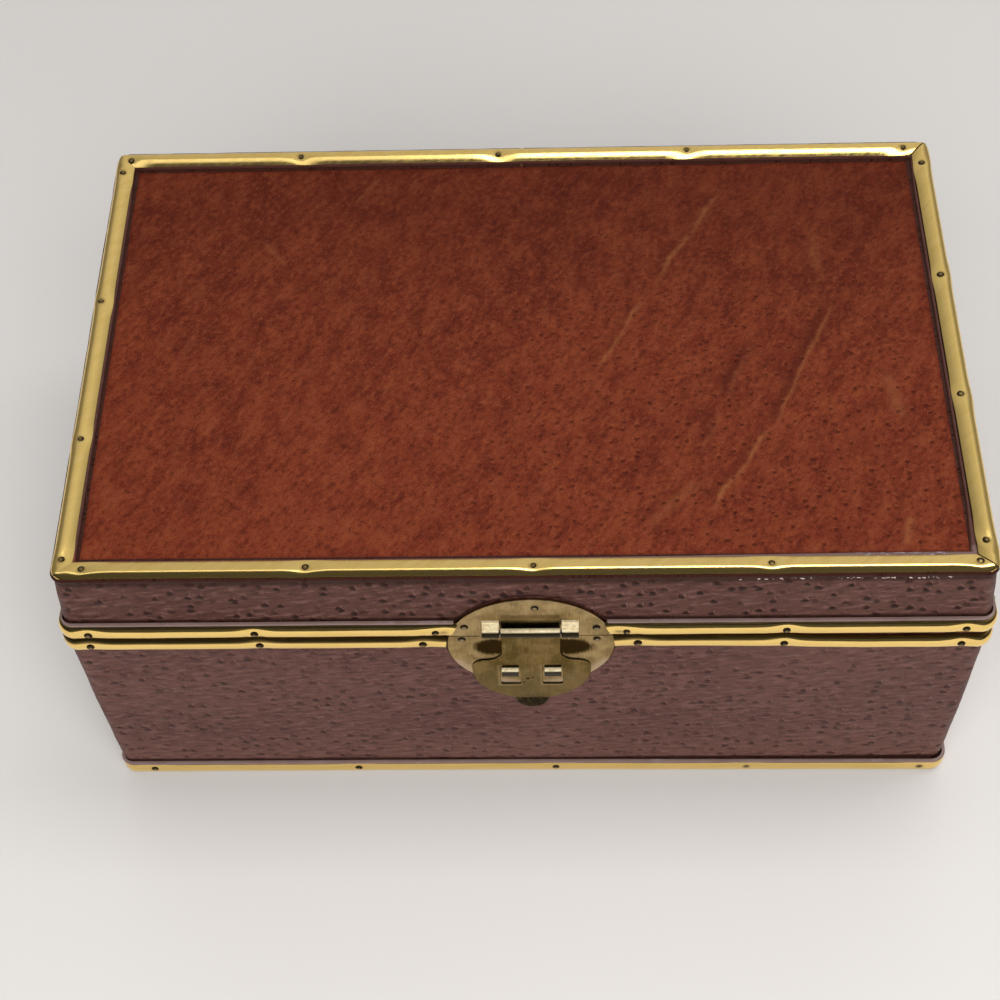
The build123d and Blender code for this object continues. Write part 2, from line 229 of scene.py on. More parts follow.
class Value:
    """A shader socket that arithmetic can be done on."""

    def __init__(self, finish, socket):
        self.finish = finish
        self.socket = socket

    def math(self, operation, first, second=0.0):
        made = self.finish.node("ShaderNodeMath", {"operation": operation}, {0: first, 1: second})
        return Value(self.finish, made.outputs[0])

    def __add__(self, other):
        return self.math("ADD", self, other)

    def __radd__(self, other):
        return self.math("ADD", other, self)

    def __sub__(self, other):
        return self.math("SUBTRACT", self, other)

    def __rsub__(self, other):
        return self.math("SUBTRACT", other, self)

    def __mul__(self, other):
        return self.math("MULTIPLY", self, other)

    def __rmul__(self, other):
        return self.math("MULTIPLY", other, self)

    def __pow__(self, other):
        return self.math("POWER", self, other)

    def size(self):
        """The value without its sign."""
        return self.math("ABSOLUTE", self)

    def most(self, other):
        """The larger of two values."""
        return self.math("MAXIMUM", self, other)


class Finish:
    """One material, and the one way that its nodes are made."""

    def __init__(self, name, tree=None):
        if tree is None:
            self.material = bpy.data.materials.new(name)
            self.material.use_nodes = True
            tree = self.material.node_tree
        tree.nodes.clear()
        self.tree = tree

    def node(self, kind, settings=None, inputs=None):
        """A node with its settings, its inputs linked to values or set to numbers."""
        made = self.tree.nodes.new(kind)
        for key, setting in (settings or {}).items():
            setattr(made, key, setting)
        for key, given in (inputs or {}).items():
            if isinstance(given, Value):
                self.tree.links.new(given.socket, made.inputs[key])
            else:
                made.inputs[key].default_value = given
        return made

    def value(self, made, output=0):
        """One output of a node."""
        return Value(self, made.outputs[output])

    def place(self):
        """The piece's own coordinates in millimetres, kept in each mesh."""
        return self.value(self.node("ShaderNodeAttribute", {"attribute_name": "place"}), "Vector")

    def own_place(self):
        """The object's own coordinates in millimetres, for pieces that keep their drawn mesh."""
        coords = self.value(self.node("ShaderNodeTexCoord"), "Object")
        return self.stretched(coords, (1 / MM, 1 / MM, 1 / MM))

    def kept(self, name):
        """A number kept at each point of the mesh."""
        return self.value(self.node("ShaderNodeAttribute", {"attribute_name": name}), "Fac")

    def vector(self, operation, first, second):
        """Arithmetic on two vectors."""
        made = self.node("ShaderNodeVectorMath", {"operation": operation}, {0: first, 1: second})
        return self.value(made)

    def stretched(self, vector, scale):
        """A vector with each part multiplied by its own scale."""
        return self.vector("MULTIPLY", vector, scale)

    def turned(self, vector, angle, reach):
        """A vector turned about Z, then divided by how far its marks reach along each axis."""
        made = self.node("ShaderNodeMapping", {"vector_type": "TEXTURE"},
                         {0: vector, 2: (0.0, 0.0, angle), 3: reach})
        return self.value(made)

    def noise(self, vector, scale, detail=2.0, rough=0.5, output=0):
        """Cloudy noise about 0.5, or another output of its node."""
        made = self.node("ShaderNodeTexNoise", None,
                         {"Vector": vector, "Scale": scale, "Detail": detail, "Roughness": rough})
        return self.value(made, output)

    def cells(self, vector, scale, random, output):
        """One output of a flat pattern of cells."""
        made = self.node("ShaderNodeTexVoronoi", {"voronoi_dimensions": "2D"},
                         {"Vector": vector, "Scale": scale, "Randomness": random})
        return self.value(made, output)

    def ramp(self, value, low, high, to_low=0.0, to_high=1.0):
        """A smooth step of a value from one range to another."""
        made = self.node("ShaderNodeMapRange", {"interpolation_type": "SMOOTHSTEP"},
                         {"Value": value, "From Min": low, "From Max": high,
                          "To Min": to_low, "To Max": to_high})
        return self.value(made)

    def mix(self, factor, first, second):
        """Two colours mixed; colours are (r, g, b) in linear light or values."""
        chosen = [(*c, 1.0) if isinstance(c, tuple) else c for c in (first, second)]
        made = self.node("ShaderNodeMix", {"data_type": "RGBA"},
                         {0: factor, 6: chosen[0], 7: chosen[1]})
        return self.value(made, 2)

    def layered(self, colour, *layers):
        """A colour with others laid over it in turn, each as (how much, colour)."""
        for amount, tint in layers:
            colour = self.mix(amount, colour, tint)
        return colour

    def wave(self, value, pitch):
        """A sine of a length, once a pitch."""
        made = self.node("ShaderNodeMath", {"operation": "SINE"}, {0: value * (2 * math.pi / pitch)})
        return self.value(made)

    def split(self, vector):
        """The three parts of a vector or a colour."""
        made = self.node("ShaderNodeSeparateXYZ", None, {0: vector})
        return [self.value(made, index) for index in range(3)]

    def bump(self, height, strength):
        """The surface's direction under a relief in millimetres."""
        made = self.node("ShaderNodeBump", None,
                         {"Height": height, "Strength": strength, "Distance": MM})
        return self.value(made)

    def surface(self, **sockets):
        """The finished shader; a socket's name has its spaces as underscores."""
        inputs = {name.replace("_", " "): given for name, given in sockets.items()}
        made = self.node("ShaderNodeBsdfPrincipled", None, inputs)
        out = self.node("ShaderNodeOutputMaterial")
        self.tree.links.new(made.outputs[0], out.inputs[0])
        return self.material


# Leather finishes

def quill_pits(shade, place, cell, random, size, turn):
    """Comma-shaped quill pits of the hide: how deep each is, and the flap raised above it."""
    wobble = shade.noise(place, 0.4, 2.0, output="Color")
    wandering = shade.vector("ADD", place, shade.stretched(wobble, (1.2, 1.0, 0.0)))
    at = shade.stretched(wandering, (1 / cell[0], 1 / cell[1], 0.0))
    spot = shade.cells(at, 1.0, random, "Position")
    chance = shade.split(shade.cells(at, 1.0, random, "Color"))
    away = shade.stretched(shade.vector("SUBTRACT", at, spot), (cell[0], cell[1], 0.0))
    across, up, _ = shade.split(away)
    lean = turn + 0.7 * (chance[1] - 0.5)
    along = across + up * lean
    aside = (up - across * lean) * (1.0 + 0.45 * along)
    strength = shade.ramp(chance[0], 0.08, 0.7, 0.1, 1.0)
    length, width = size
    onward = along * (1 / length)
    marks = []
    for raised in (0.0, width * 1.7):
        beside = (aside - raised) * (1 / width)
        far = (onward * onward + beside * beside) ** 0.5
        marks.append(shade.ramp(far, 1.15, 0.35) * strength)
    return marks


def mauve_leather():
    """Brownish mauve hide of the walls, with rows of quill pits and fine creases."""
    shade = Finish("mauve_leather")
    place = shade.place()
    along, height, _ = shade.split(place)
    on_lid = shade.ramp(height, parting - 1.0, parting + 1.0)
    broad = shade.noise(place, 0.03, 3.0)
    cloudy = shade.noise(place, 0.16, 4.0, 0.6)
    pits, flaps = quill_pits(shade, place, (4.0, 4.2), 0.9, (1.22, 0.92), -0.40)
    creases = shade.noise(shade.turned(place, 0.13, (3.2, 0.85, 1.0)), 0.62, 5.0, 0.66)
    patches = shade.noise(shade.turned(place, 0.3, (2.0, 1.0, 1.0)), 0.11, 3.0, 0.55)
    lumps = shade.noise(shade.stretched(place, (0.55, 1.2, 1.0)), 0.42, 3.0, 0.5)
    fibres = shade.noise(shade.stretched(place, (0.8, 1.9, 1.0)), 1.5, 3.0, 0.65)
    pitted = on_lid.most(shade.ramp(patches, 0.60, 0.40, 0.20, 0.75))
    # Painted shade: dark just above the lid's roll and the foot's roll, under the base's rim strip, and
    # round the latch plate
    above_roll = shade.ramp(height, roll_top - 2.5, roll_top)
    by_roll = shade.ramp(height, roll_top + 2.0, roll_top + 0.4) * above_roll
    above_foot = shade.ramp(height, foot_top - 2.5, foot_top)
    by_foot = shade.ramp(height, foot_top + 2.4, foot_top + 0.5) * above_foot
    in_base = shade.ramp(height, parting, parting - 0.5)
    under_rim = shade.ramp(height, rim_under - 1.6, rim_under) * in_base
    by_plate = shade.ramp(shade.kept("beside"), 0.9, 0.1)
    grime_and_shade = (0.0200, 0.0057, 0.0037)
    colour = shade.layered(
        shade.mix(shade.ramp(broad, 0.35, 0.65), (0.0840, 0.0285, 0.0223), (0.1120, 0.0437, 0.0335)),
        (shade.ramp(cloudy, 0.45, 0.70) * 0.6, (0.1450, 0.0630, 0.0531)),
        (shade.ramp(lumps, 0.50, 0.30) * 0.4, (0.0560, 0.0181, 0.0140)),
        (on_lid * 0.5, (0.0640, 0.0218, 0.0149)),
        # painted light: lighter towards the bottom, as if lit from the floor; next, lighter towards the
        # front's right end
        (shade.ramp(height, 34.0, 6.0) * 0.52, (0.1650, 0.0722, 0.0539)),
        (shade.ramp(along, 430.0, 520.0) * 0.16, (0.1650, 0.0790, 0.0620)),
        (shade.ramp(creases, 0.51, 0.64) * 0.60, (0.1900, 0.0927, 0.0784)),
        (shade.ramp(creases, 0.48, 0.34) * 0.72, (0.0400, 0.0127, 0.0097)),
        (shade.ramp(fibres, 0.54, 0.70) * 0.22, (0.1900, 0.0997, 0.0856)),
        # painted highlight on the raised flap above each pit
        (flaps * 0.4, (0.1850, 0.0893, 0.0725)),
        (pits * pitted, (0.0180, 0.0043, 0.0033)),
        # painted shade under the top strip's edge, with the rolled lip's own dark edge
        (shade.ramp(height, lid_top - 4.0, lid_top - 1.8), (0.0340, 0.0081, 0.0042)),
        # painted shade by the rolls, under the rim strip and round the plate
        (by_roll * 0.85, grime_and_shade),
        (by_foot * 0.85, grime_and_shade),
        (under_rim * 0.5, grime_and_shade),
        (by_plate * 0.9, grime_and_shade),
    )
    relief = 0.50 * lumps + 0.55 * creases + 0.14 * fibres - 0.60 * pits + 0.30 * flaps
    return shade.surface(
        Base_Color=colour,
        Roughness=shade.ramp(cloudy, 0.3, 0.7, 0.46, 0.60),
        Normal=shade.bump(relief, 1.0),
        Specular_IOR_Level=0.22,
    )


def rust_leather():
    """Waxed rust leather of the top: orange-brown mottling, small pits, and creases with painted
    highlight and shade.
    """
    shade = Finish("rust_leather")
    place = shade.place()
    across, deep, _ = shade.split(place)
    broad = shade.noise(shade.turned(place, 1.1, (1.6, 1.0, 1.0)), 0.024, 3.0, 0.55)
    streaks = shade.noise(shade.turned(place, 1.14, (2.3, 1.0, 1.0)), 0.26, 4.0, 0.62)
    mottle = shade.noise(shade.stretched(place, (1.0, 0.8, 1.0)), 0.13, 5.0, 0.66)
    flecks = shade.noise(shade.turned(place, 0.9, (1.2, 0.9, 1.0)), 0.62, 4.0, 0.64)
    fine = shade.noise(shade.stretched(place, (1.2, 0.9, 1.0)), 2.1, 3.0, 0.6)
    pits, flaps = quill_pits(shade, place, (3.6, 4.1), 1.0, (0.78, 0.58), 0.35)
    pitted = shade.ramp(across, -80.0, 30.0) * shade.ramp(deep, 75.0, -40.0, 0.35, 1.0)
    # Painted light: lighter towards the front and dimmer towards the back, more so on the right, as the
    # light falls off
    wear_and_light = shade.ramp(deep, window_high[1], window_low[1], 0.0, 0.6)
    shaded_back = shade.ramp(deep, -5.0, 70.0) * shade.ramp(across, -110.0, -20.0, 0.22, 0.34)
    colour = shade.layered(
        shade.mix(shade.ramp(broad, 0.36, 0.62), (0.0905, 0.0126, 0.0051), (0.1305, 0.0214, 0.0080)),
        # painted light, lighter towards the front
        (wear_and_light, (0.1653, 0.0286, 0.0123)),
        (shade.ramp(mottle, 0.45, 0.62) * 0.55, (0.1783, 0.0370, 0.0135)),
        (shade.ramp(mottle, 0.46, 0.34) * 0.45, (0.0679, 0.0088, 0.0038)),
        (shade.ramp(flecks, 0.51, 0.67) * 0.52, (0.2175, 0.0521, 0.0197)),
        (shade.ramp(flecks, 0.49, 0.34) * 0.60, (0.0505, 0.0067, 0.0031)),
        (shade.ramp(streaks, 0.50, 0.66) * 0.30, (0.2175, 0.0538, 0.0205)),
        (shade.ramp(streaks, 0.49, 0.34) * 0.36, (0.0539, 0.0071, 0.0033)),
        (shade.ramp(fine, 0.53, 0.67) * 0.30, (0.2262, 0.0672, 0.0312)),
        (shade.ramp(fine, 0.47, 0.34) * 0.36, (0.0478, 0.0067, 0.0033)),
        # painted highlight on the crease ridges, painted shade on their left sides
        (shade.kept("crease_highlight") * 0.8, (0.2784, 0.0966, 0.0344)),
        (shade.kept("crease_shade") * 0.6, (0.0539, 0.0076, 0.0037)),
        # painted highlight on the raised flap above each pit
        (flaps * pitted * 0.22, (0.2436, 0.0672, 0.0295)),
        (pits * pitted * 0.58, (0.0331, 0.0049, 0.0025)),
        # painted shade, dimmer towards the back
        (shaded_back, (0.0391, 0.0038, 0.0016)),
        (shade.kept("edge") * 0.6, (0.0566, 0.0109, 0.0066)),
    )
    height = 0.26 * flecks + 0.10 * fine + 0.34 * mottle + 0.14 * streaks
    height = height - 0.26 * pits * pitted + 0.10 * flaps * pitted
    return shade.surface(
        Base_Color=colour,
        Roughness=shade.ramp(mottle, 0.35, 0.7, 0.50, 0.62),
        Normal=shade.bump(height, 0.9),
        Specular_IOR_Level=0.06,
    )


def piping_leather():
    """Thin polished mauve leather rolled along the edges."""
    shade = Finish("piping_leather")
    place = shade.place()
    cloudy = shade.noise(shade.stretched(place, (0.12, 1.0, 1.0)), 1.0, 3.0)
    pale_share = shade.noise(shade.stretched(place, (0.05, 0.6, 1.0)), 1.6, 4.0, 0.7)
    colour = shade.mix(cloudy, (0.150, 0.088, 0.076), (0.260, 0.185, 0.165))
    colour = shade.mix(shade.ramp(pale_share, 0.58, 0.72) * 0.45, colour, (0.42, 0.34, 0.34))
    height = 0.12 * shade.noise(shade.stretched(place, (0.35, 1.5, 1.0)), 1.2, 3.0)
    return shade.surface(Base_Color=colour, Roughness=0.38, Normal=shade.bump(height, 0.7),
                         Specular_IOR_Level=0.4)


def top_edge_leather():
    """Dark rolled edge inside the top's strips, torn to pale lilac near its right front corner."""
    shade = Finish("top_edge_leather")
    place = shade.place()
    across, deep, _ = shade.split(place)
    cloudy = shade.noise(place, 0.5, 3.0, 0.6)
    at_front = shade.ramp(deep, -67.6, -69.2)
    at_right = shade.ramp(across, 116.6, 117.6)
    colour = shade.mix(cloudy, (0.052, 0.017, 0.012), (0.100, 0.040, 0.030))
    along_front = shade.mix(shade.ramp(across, -60.0, 70.0), (0.125, 0.030, 0.018), (0.150, 0.088, 0.076))
    colour = shade.mix(at_front, colour, along_front)
    colour = shade.mix(at_right * 0.5, colour, (0.030, 0.012, 0.010))
    torn = shade.ramp(across, 83.0, 89.0) * shade.ramp(across, 112.0, 107.0)
    torn = torn * shade.ramp(deep, -60.0, -66.0)
    ragged = shade.noise(shade.stretched(place, (0.35, 2.2, 1.0)), 1.1, 4.0, 0.75)
    torn = torn * shade.ramp(ragged, 0.50, 0.60)
    colour = shade.mix(torn * 0.75, colour, (0.56, 0.48, 0.55))
    relief = 0.15 * cloudy + 0.3 * torn
    return shade.surface(Base_Color=colour, Roughness=0.5, Normal=shade.bump(relief, 0.7),
                         Specular_IOR_Level=0.3)


def dried_glue():
    """Whitish glue squeezed out under the front strip."""
    shade = Finish("dried_glue")
    place = shade.place()
    cloudy = shade.noise(place, 2.0, 3.0, 0.6)
    colour = shade.mix(cloudy, (0.36, 0.22, 0.19), (0.78, 0.64, 0.56))
    return shade.surface(Base_Color=colour, Roughness=0.4, Normal=shade.bump(0.1 * cloudy, 0.5))


# Metal finishes

# How much light old brass gives back at a glance, which keeps its dark patches dark
old_brass_edge = (0.25, 0.22, 0.18, 1.0)


def strip_brass():
    """Polished half-round brass, tarnished round each nail, and with painted shade where the lid hides
    it.
    """
    shade = Finish("strip_brass")
    place = shade.place()
    smears = shade.noise(shade.stretched(place, (0.07, 0.5, 1.0)), 1.0, 4.0, 0.6)
    spots = shade.noise(place, 0.9, 3.0, 0.7)
    tarnish_and_shade = shade.kept("tarnish_and_shade")
    colour = shade.layered(
        shade.mix(shade.ramp(smears, 0.35, 0.7), (1.0, 0.715, 0.245), (0.93, 0.655, 0.205)),
        (shade.ramp(spots, 0.60, 0.78) * 0.35, (0.45, 0.30, 0.10)),
        # tarnished spots, and painted shade where the shut lid hides the base's strip
        (shade.ramp(tarnish_and_shade, 0.25, 0.95), (0.10, 0.065, 0.025)),
    )
    height = 0.035 * shade.noise(shade.stretched(place, (0.16, 0.5, 1.0)), 1.0, 2.0)
    return shade.surface(
        Base_Color=colour,
        Metallic=1.0,
        Roughness=shade.ramp(smears, 0.3, 0.75, 0.13, 0.22) + 0.3 * shade.ramp(tarnish_and_shade, 0.3, 0.9),
        Normal=shade.bump(height, 0.6),
    )


def nail_brass(name, middle, ring, ring_start):
    """Brass nail heads, rubbed in the middle and dark round the edge."""
    shade = Finish(name)
    place = shade.place()
    rim = shade.kept("rim")
    grime_and_shade = shade.noise(place, 1.1, 3.0, 0.7)
    dirty = shade.ramp(rim + 0.4 * grime_and_shade - 0.2, ring_start, ring_start + 0.3)
    colour = shade.mix(dirty, middle, ring)
    return shade.surface(Base_Color=colour, Metallic=shade.ramp(dirty, 0.0, 1.0, 0.95, 0.3),
                         Roughness=shade.ramp(dirty, 0.0, 1.0, 0.30, 0.6), Specular_IOR_Level=0.2)


def latch_brass(name, wear_and_light, dull, streak):
    """Antique brass of the latch: brushed and mottled, with small dark spots."""
    shade = Finish(name)
    place = shade.own_place()
    across, _, up = shade.split(place)
    brushed = shade.noise(shade.stretched(place, (2.2, 0.5, 0.16)), 1.3, 4.0, 0.65)
    mottle = shade.noise(place, 0.22, 4.0, 0.6)
    spots = shade.noise(place, 1.3, 3.0, 0.75)
    colour = shade.layered(
        shade.mix(shade.ramp(mottle, 0.35, 0.68), dull, wear_and_light),
        (shade.ramp(brushed, 0.50, 0.74) * 0.5, streak),
        (shade.ramp(spots, 0.60, 0.72) * 0.6, (0.060, 0.040, 0.020)),
    )
    return shade, colour, brushed, mottle, spots, across - plate_x, up


def plate_brass():
    """Brass of the round latch plate, dark round its edge, beside the hasp's neck and over the pin.

    The hinges share it, and beyond the plate's edge it is all as dark as the edge.
    """
    shade, colour, brushed, mottle, spots, aside, up = latch_brass(
        "plate_brass", (0.53, 0.385, 0.190), (0.335, 0.240, 0.115), (0.66, 0.51, 0.28))
    raised = up - (parting - plate_drop)
    from_centre = (aside * aside + raised * raised) ** 0.5
    wedge = shade.ramp(from_centre, 19.0, 22.0) * shade.ramp(up, parting - 11.0, parting - 14.0)
    # painted shade and dark reflection round the plate's edge; the hinges, beyond it, get the same dark
    edge = shade.ramp(from_centre, plate_reach - 0.25, plate_reach - 0.05)
    # painted shade and dark reflection beside the hasp's neck
    beside = (aside.size() - 10.0) * shade.ramp(aside, -1.0, 1.0, 1 / 6.6, 1 / 8.2)
    below = (up - (parting - 5.8)) * (1 / 5.0)
    patch = shade.ramp((beside * beside + below * below) ** 0.5 + 0.5 * (brushed - 0.5), 1.0, 0.66)
    above_pin = (up - (parting + 9.2)) * (1 / 1.5)
    over = shade.ramp(above_pin.size(), 1.0, 0.2) * shade.ramp(aside.size(), 8.6, 7.4)
    colour = shade.layered(
        colour,
        (wedge * 0.8, (0.70, 0.54, 0.37)),
        # painted shade and dark reflection at the edge
        (edge, (0.055, 0.038, 0.018)),
        # painted shade beside the neck
        (patch * 0.97, (0.046, 0.032, 0.015)),
        (over * 0.55, (0.10, 0.065, 0.022)),
    )
    return shade.surface(
        Base_Color=colour,
        Metallic=1.0,
        Roughness=shade.ramp(brushed, 0.3, 0.7, 0.44, 0.32),
        Specular_Tint=old_brass_edge,
        Normal=shade.bump(0.05 * brushed + 0.12 * mottle + 0.03 * spots, 0.7),
    )


def hasp_brass():
    """Darker brass of the hasp, paler along its slots with rubbing and a painted highlight, and pitted
    between them.
    """
    shade, colour, brushed, mottle, spots, aside, up = latch_brass(
        "hasp_brass", (0.320, 0.226, 0.098), (0.168, 0.120, 0.048), (0.40, 0.290, 0.14))
    lobe = shade.ramp(up, parting - 13.0, parting - 24.0)
    colour = shade.mix(lobe * 0.40, colour, (0.29, 0.225, 0.128))
    # paler along each slot's left and lower edges: rubbing, with a painted highlight
    for side in (-1, 1):
        over = (aside - side * slot_aside + 0.35).size() - slot_width / 2
        under = (up - (parting - slot_down) + 0.45).size() - slot_height / 2
        near = over.most(under)
        colour = shade.mix(shade.ramp(near, 0.65, 0.25) * 0.5, colour, (0.46, 0.35, 0.18))
    for spot_x, spot_down, reach in ((-1.1, 23.2, 0.75), (0.2, 22.6, 0.5), (-2.2, 25.2, 0.45)):
        off = aside - spot_x
        down = up - (parting - spot_down)
        pit = shade.ramp((off * off + down * down) ** 0.5, reach, reach * 0.4)
        colour = shade.mix(pit * 0.9, colour, (0.025, 0.016, 0.008))
    return shade.surface(
        Base_Color=colour,
        Metallic=1.0,
        Roughness=shade.ramp(brushed, 0.3, 0.7, 0.46, 0.34),
        Specular_Tint=old_brass_edge,
        Normal=shade.bump(0.05 * brushed + 0.14 * mottle + 0.04 * spots, 0.8),
    )


def lit_and_rubbed_brass(name, bright_from, dark_to, hidden_out):
    """Brass with rubbing and a painted highlight above one height, and dirt with painted shade below
    another and near the plate.
    """
    shade = Finish(name)
    place = shade.own_place()
    _, deep, up = shade.split(place)
    mottle = shade.noise(place, 0.7, 4.0, 0.65)
    # painted highlight on the upper faces; painted shade below them and close to the plate, with dirt
    pale_share = shade.ramp(up + 0.15 * (mottle - 0.5), dark_to, bright_from)
    pale_share = pale_share * shade.ramp(deep, -half_depth - hidden_out, -half_depth - hidden_out - 0.3)
    pale = shade.mix(shade.ramp(mottle, 0.40, 0.68), (1.0, 0.86, 0.56), (0.72, 0.56, 0.31))
    colour = shade.mix(pale_share, (0.022, 0.015, 0.006), pale)
    return shade.surface(Base_Color=colour, Metallic=0.40, Roughness=0.34, Specular_IOR_Level=0.2,
                         Normal=shade.bump(0.05 * mottle, 0.5))


def pin_metal():
    """Grey plated metal of the latch pin."""
    shade = Finish("pin_metal")
    place = shade.own_place()
    wear_and_light = shade.noise(place, 1.4, 3.0, 0.6)
    colour = shade.mix(wear_and_light, (0.50, 0.48, 0.46), (0.30, 0.29, 0.27))
    return shade.surface(Base_Color=colour, Metallic=1.0, Roughness=0.32,
                         Normal=shade.bump(0.04 * wear_and_light, 0.5))


def dark_tab():
    """The thumb tab, almost black with handling and with painted shade and dark reflection."""
    shade = Finish("dark_tab")
    place = shade.own_place()
    wear_and_light = shade.noise(place, 0.9, 4.0, 0.65)
    colour = shade.mix(shade.ramp(wear_and_light, 0.4, 0.7), (0.020, 0.013, 0.005), (0.065, 0.045, 0.018))
    return shade.surface(Base_Color=colour, Metallic=0.5, Roughness=0.5,
                         Normal=shade.bump(0.08 * wear_and_light, 0.6), Specular_IOR_Level=0.25)


# Plain finishes of the inside and the underside

def board_wood():
    """Plain softwood of the boards, with straight grain."""
    shade = Finish("board_wood")
    place = shade.own_place()
    rings = shade.noise(shade.stretched(place, (0.02, 0.30, 0.30)), 1.0, 3.0)
    fibres = shade.noise(shade.stretched(place, (0.12, 2.6, 2.6)), 1.0, 4.0, 0.65)
    colour = shade.mix(shade.ramp(rings, 0.38, 0.62), (0.36, 0.20, 0.10), (0.52, 0.33, 0.17))
    colour = shade.mix(shade.ramp(fibres, 0.45, 0.75) * 0.5, colour, (0.24, 0.12, 0.055))
    return shade.surface(Base_Color=colour, Roughness=0.62, Normal=shade.bump(0.25 * fibres, 0.6))


def lining_cloth():
    """Burgundy cloth with an open plain weave and faint wear."""
    shade = Finish("lining_cloth")
    place = shade.own_place()
    across, deep, up = shade.split(place)
    threads = [shade.wave(axis, 0.62) for axis in (across, deep, up)]
    weave = threads[0] * threads[1] + threads[1] * threads[2] + threads[2] * threads[0]
    faded = shade.noise(place, 0.05, 3.0)
    colour = shade.mix(shade.ramp(faded, 0.35, 0.7), (0.110, 0.010, 0.016), (0.165, 0.022, 0.028))
    colour = shade.mix(shade.ramp(weave, -0.4, 0.9) * 0.5, colour, (0.055, 0.004, 0.008))
    return shade.surface(Base_Color=colour, Roughness=0.86, Normal=shade.bump(0.10 * weave, 0.7),
                         Sheen_Weight=0.25, Sheen_Roughness=0.5)


def under_felt():
    """Dark felt under the bottom board."""
    shade = Finish("under_felt")
    place = shade.own_place()
    fuzz = shade.noise(place, 2.2, 5.0, 0.7)
    colour = shade.mix(fuzz, (0.010, 0.009, 0.009), (0.045, 0.040, 0.040))
    return shade.surface(Base_Color=colour, Roughness=0.95, Normal=shade.bump(0.4 * fuzz, 0.8))


finishes = {
    "mauve": mauve_leather(),
    "rust": rust_leather(),
    "piping": piping_leather(),
    "top_edge": top_edge_leather(),
    "glue": dried_glue(),
    "strip": strip_brass(),
    "nail": nail_brass("nail_brass", (0.26, 0.175, 0.060), (0.022, 0.014, 0.005), 0.26),
    "latch_nail": nail_brass("latch_nail_brass", (0.30, 0.215, 0.10), (0.016, 0.010, 0.005), 0.42),
    "plate": plate_brass(),
    "hasp": hasp_brass(),
    "barrel": lit_and_rubbed_brass("barrel_brass", pin_height + 1.20, pin_height + 1.00, plate_thick),
    "knuckle": lit_and_rubbed_brass("knuckle_brass", pin_height + 1.40, pin_height + 1.15, 0.0),
    "staple": lit_and_rubbed_brass("staple_brass", parting - staple_top - 0.22, parting - staple_top - 0.6,
                           staple_hidden),
    "pin": pin_metal(),
    "tab": dark_tab(),
    "wood": board_wood(),
    "cloth": lining_cloth(),
    "felt": under_felt(),
}


# Making pieces

def make_piece(name, points, faces, finish, kept, smooth_angle):
    """A mesh object from points in millimetres, with numbers kept at its points for its finish."""
    mesh = bpy.data.meshes.new(name)
    mesh.from_pydata((np.asarray(points) * MM).tolist(), [], faces)
    for key, numbers in (kept or {}).items():
        numbers = np.asarray(numbers, np.float32)
        if numbers.ndim == 2:
            layer = mesh.attributes.new(key, "FLOAT_VECTOR", "POINT")
            layer.data.foreach_set("vector", numbers.ravel())
        else:
            layer = mesh.attributes.new(key, "FLOAT", "POINT")
            layer.data.foreach_set("value", numbers)
    mesh.shade_smooth()
    mesh.set_sharp_from_angle(angle=math.radians(smooth_angle))
    mesh.materials.append(finishes[finish])
    piece = bpy.data.objects.new(name, mesh)
    bpy.context.scene.collection.objects.link(piece)
    return piece


def settle(piece, body, slot, *nodes):
    """The piece rides on a body and stands for some nodes."""
    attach(piece, body)
    if nodes:
        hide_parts(*nodes)
    return piece


def grid_faces(rows, columns, closed_columns):
    """Faces of a grid of points, row by row; the columns may close on themselves."""
    faces = []
    across = columns if closed_columns else columns - 1
    for row in range(rows - 1):
        for column in range(across):
            following = (column + 1) % columns
            here, there = row * columns, (row + 1) * columns
            faces.append((here + column, here + following, there + following, there + column))
    return faces


def tube_faces(rows, columns):
    """Faces of a tube of points, closed all round and filled at both ends."""
    faces = grid_faces(rows, columns, True)
    faces.append(tuple(range(columns)))
    faces.append(tuple(range(rows * columns - 1, (rows - 1) * columns - 1, -1)))
    return faces


def turned_over(faces):
    """Faces that look the other way."""
    return [tuple(reversed(face)) for face in faces]


def flat_place(first, second):
    """The place of each point in its finish, when the finish lies in a plane."""
    return np.column_stack([first, second, np.zeros(len(first))])


def joined_groups(verts):
    """The vertices in groups that edges join."""
    unseen = set(verts)
    groups = []
    while unseen:
        group = []
        front = [unseen.pop()]
        while front:
            vert = front.pop()
            group.append(vert)
            for edge in vert.link_edges:
                other = edge.other_vert(vert)
                if other in unseen:
                    unseen.remove(other)
                    front.append(other)
        groups.append(group)
    return groups


def nail_places(node):
    """Where the node's nails stand: each head's seat and outward direction, in millimetres."""
    mesh = bmesh.new()
    mesh.from_mesh(frame["nodes"][node].data)
    bmesh.ops.remove_doubles(mesh, verts=mesh.verts, dist=MM * 0.01)
    places = []
    for group in joined_groups(mesh.verts):
        points = np.array([vert.co for vert in group]) / MM
        far = np.linalg.norm(points - points.mean(0), axis=1)
        tip = points[far.argmax()]
        outward = points.mean(0) - tip
        outward /= np.linalg.norm(outward)
        reach = ((points - tip) @ outward).max()
        places.append((tip + outward * reach, outward))
    mesh.free()
    return sorted(places, key=lambda place: tuple(np.round(place[0], 1)))


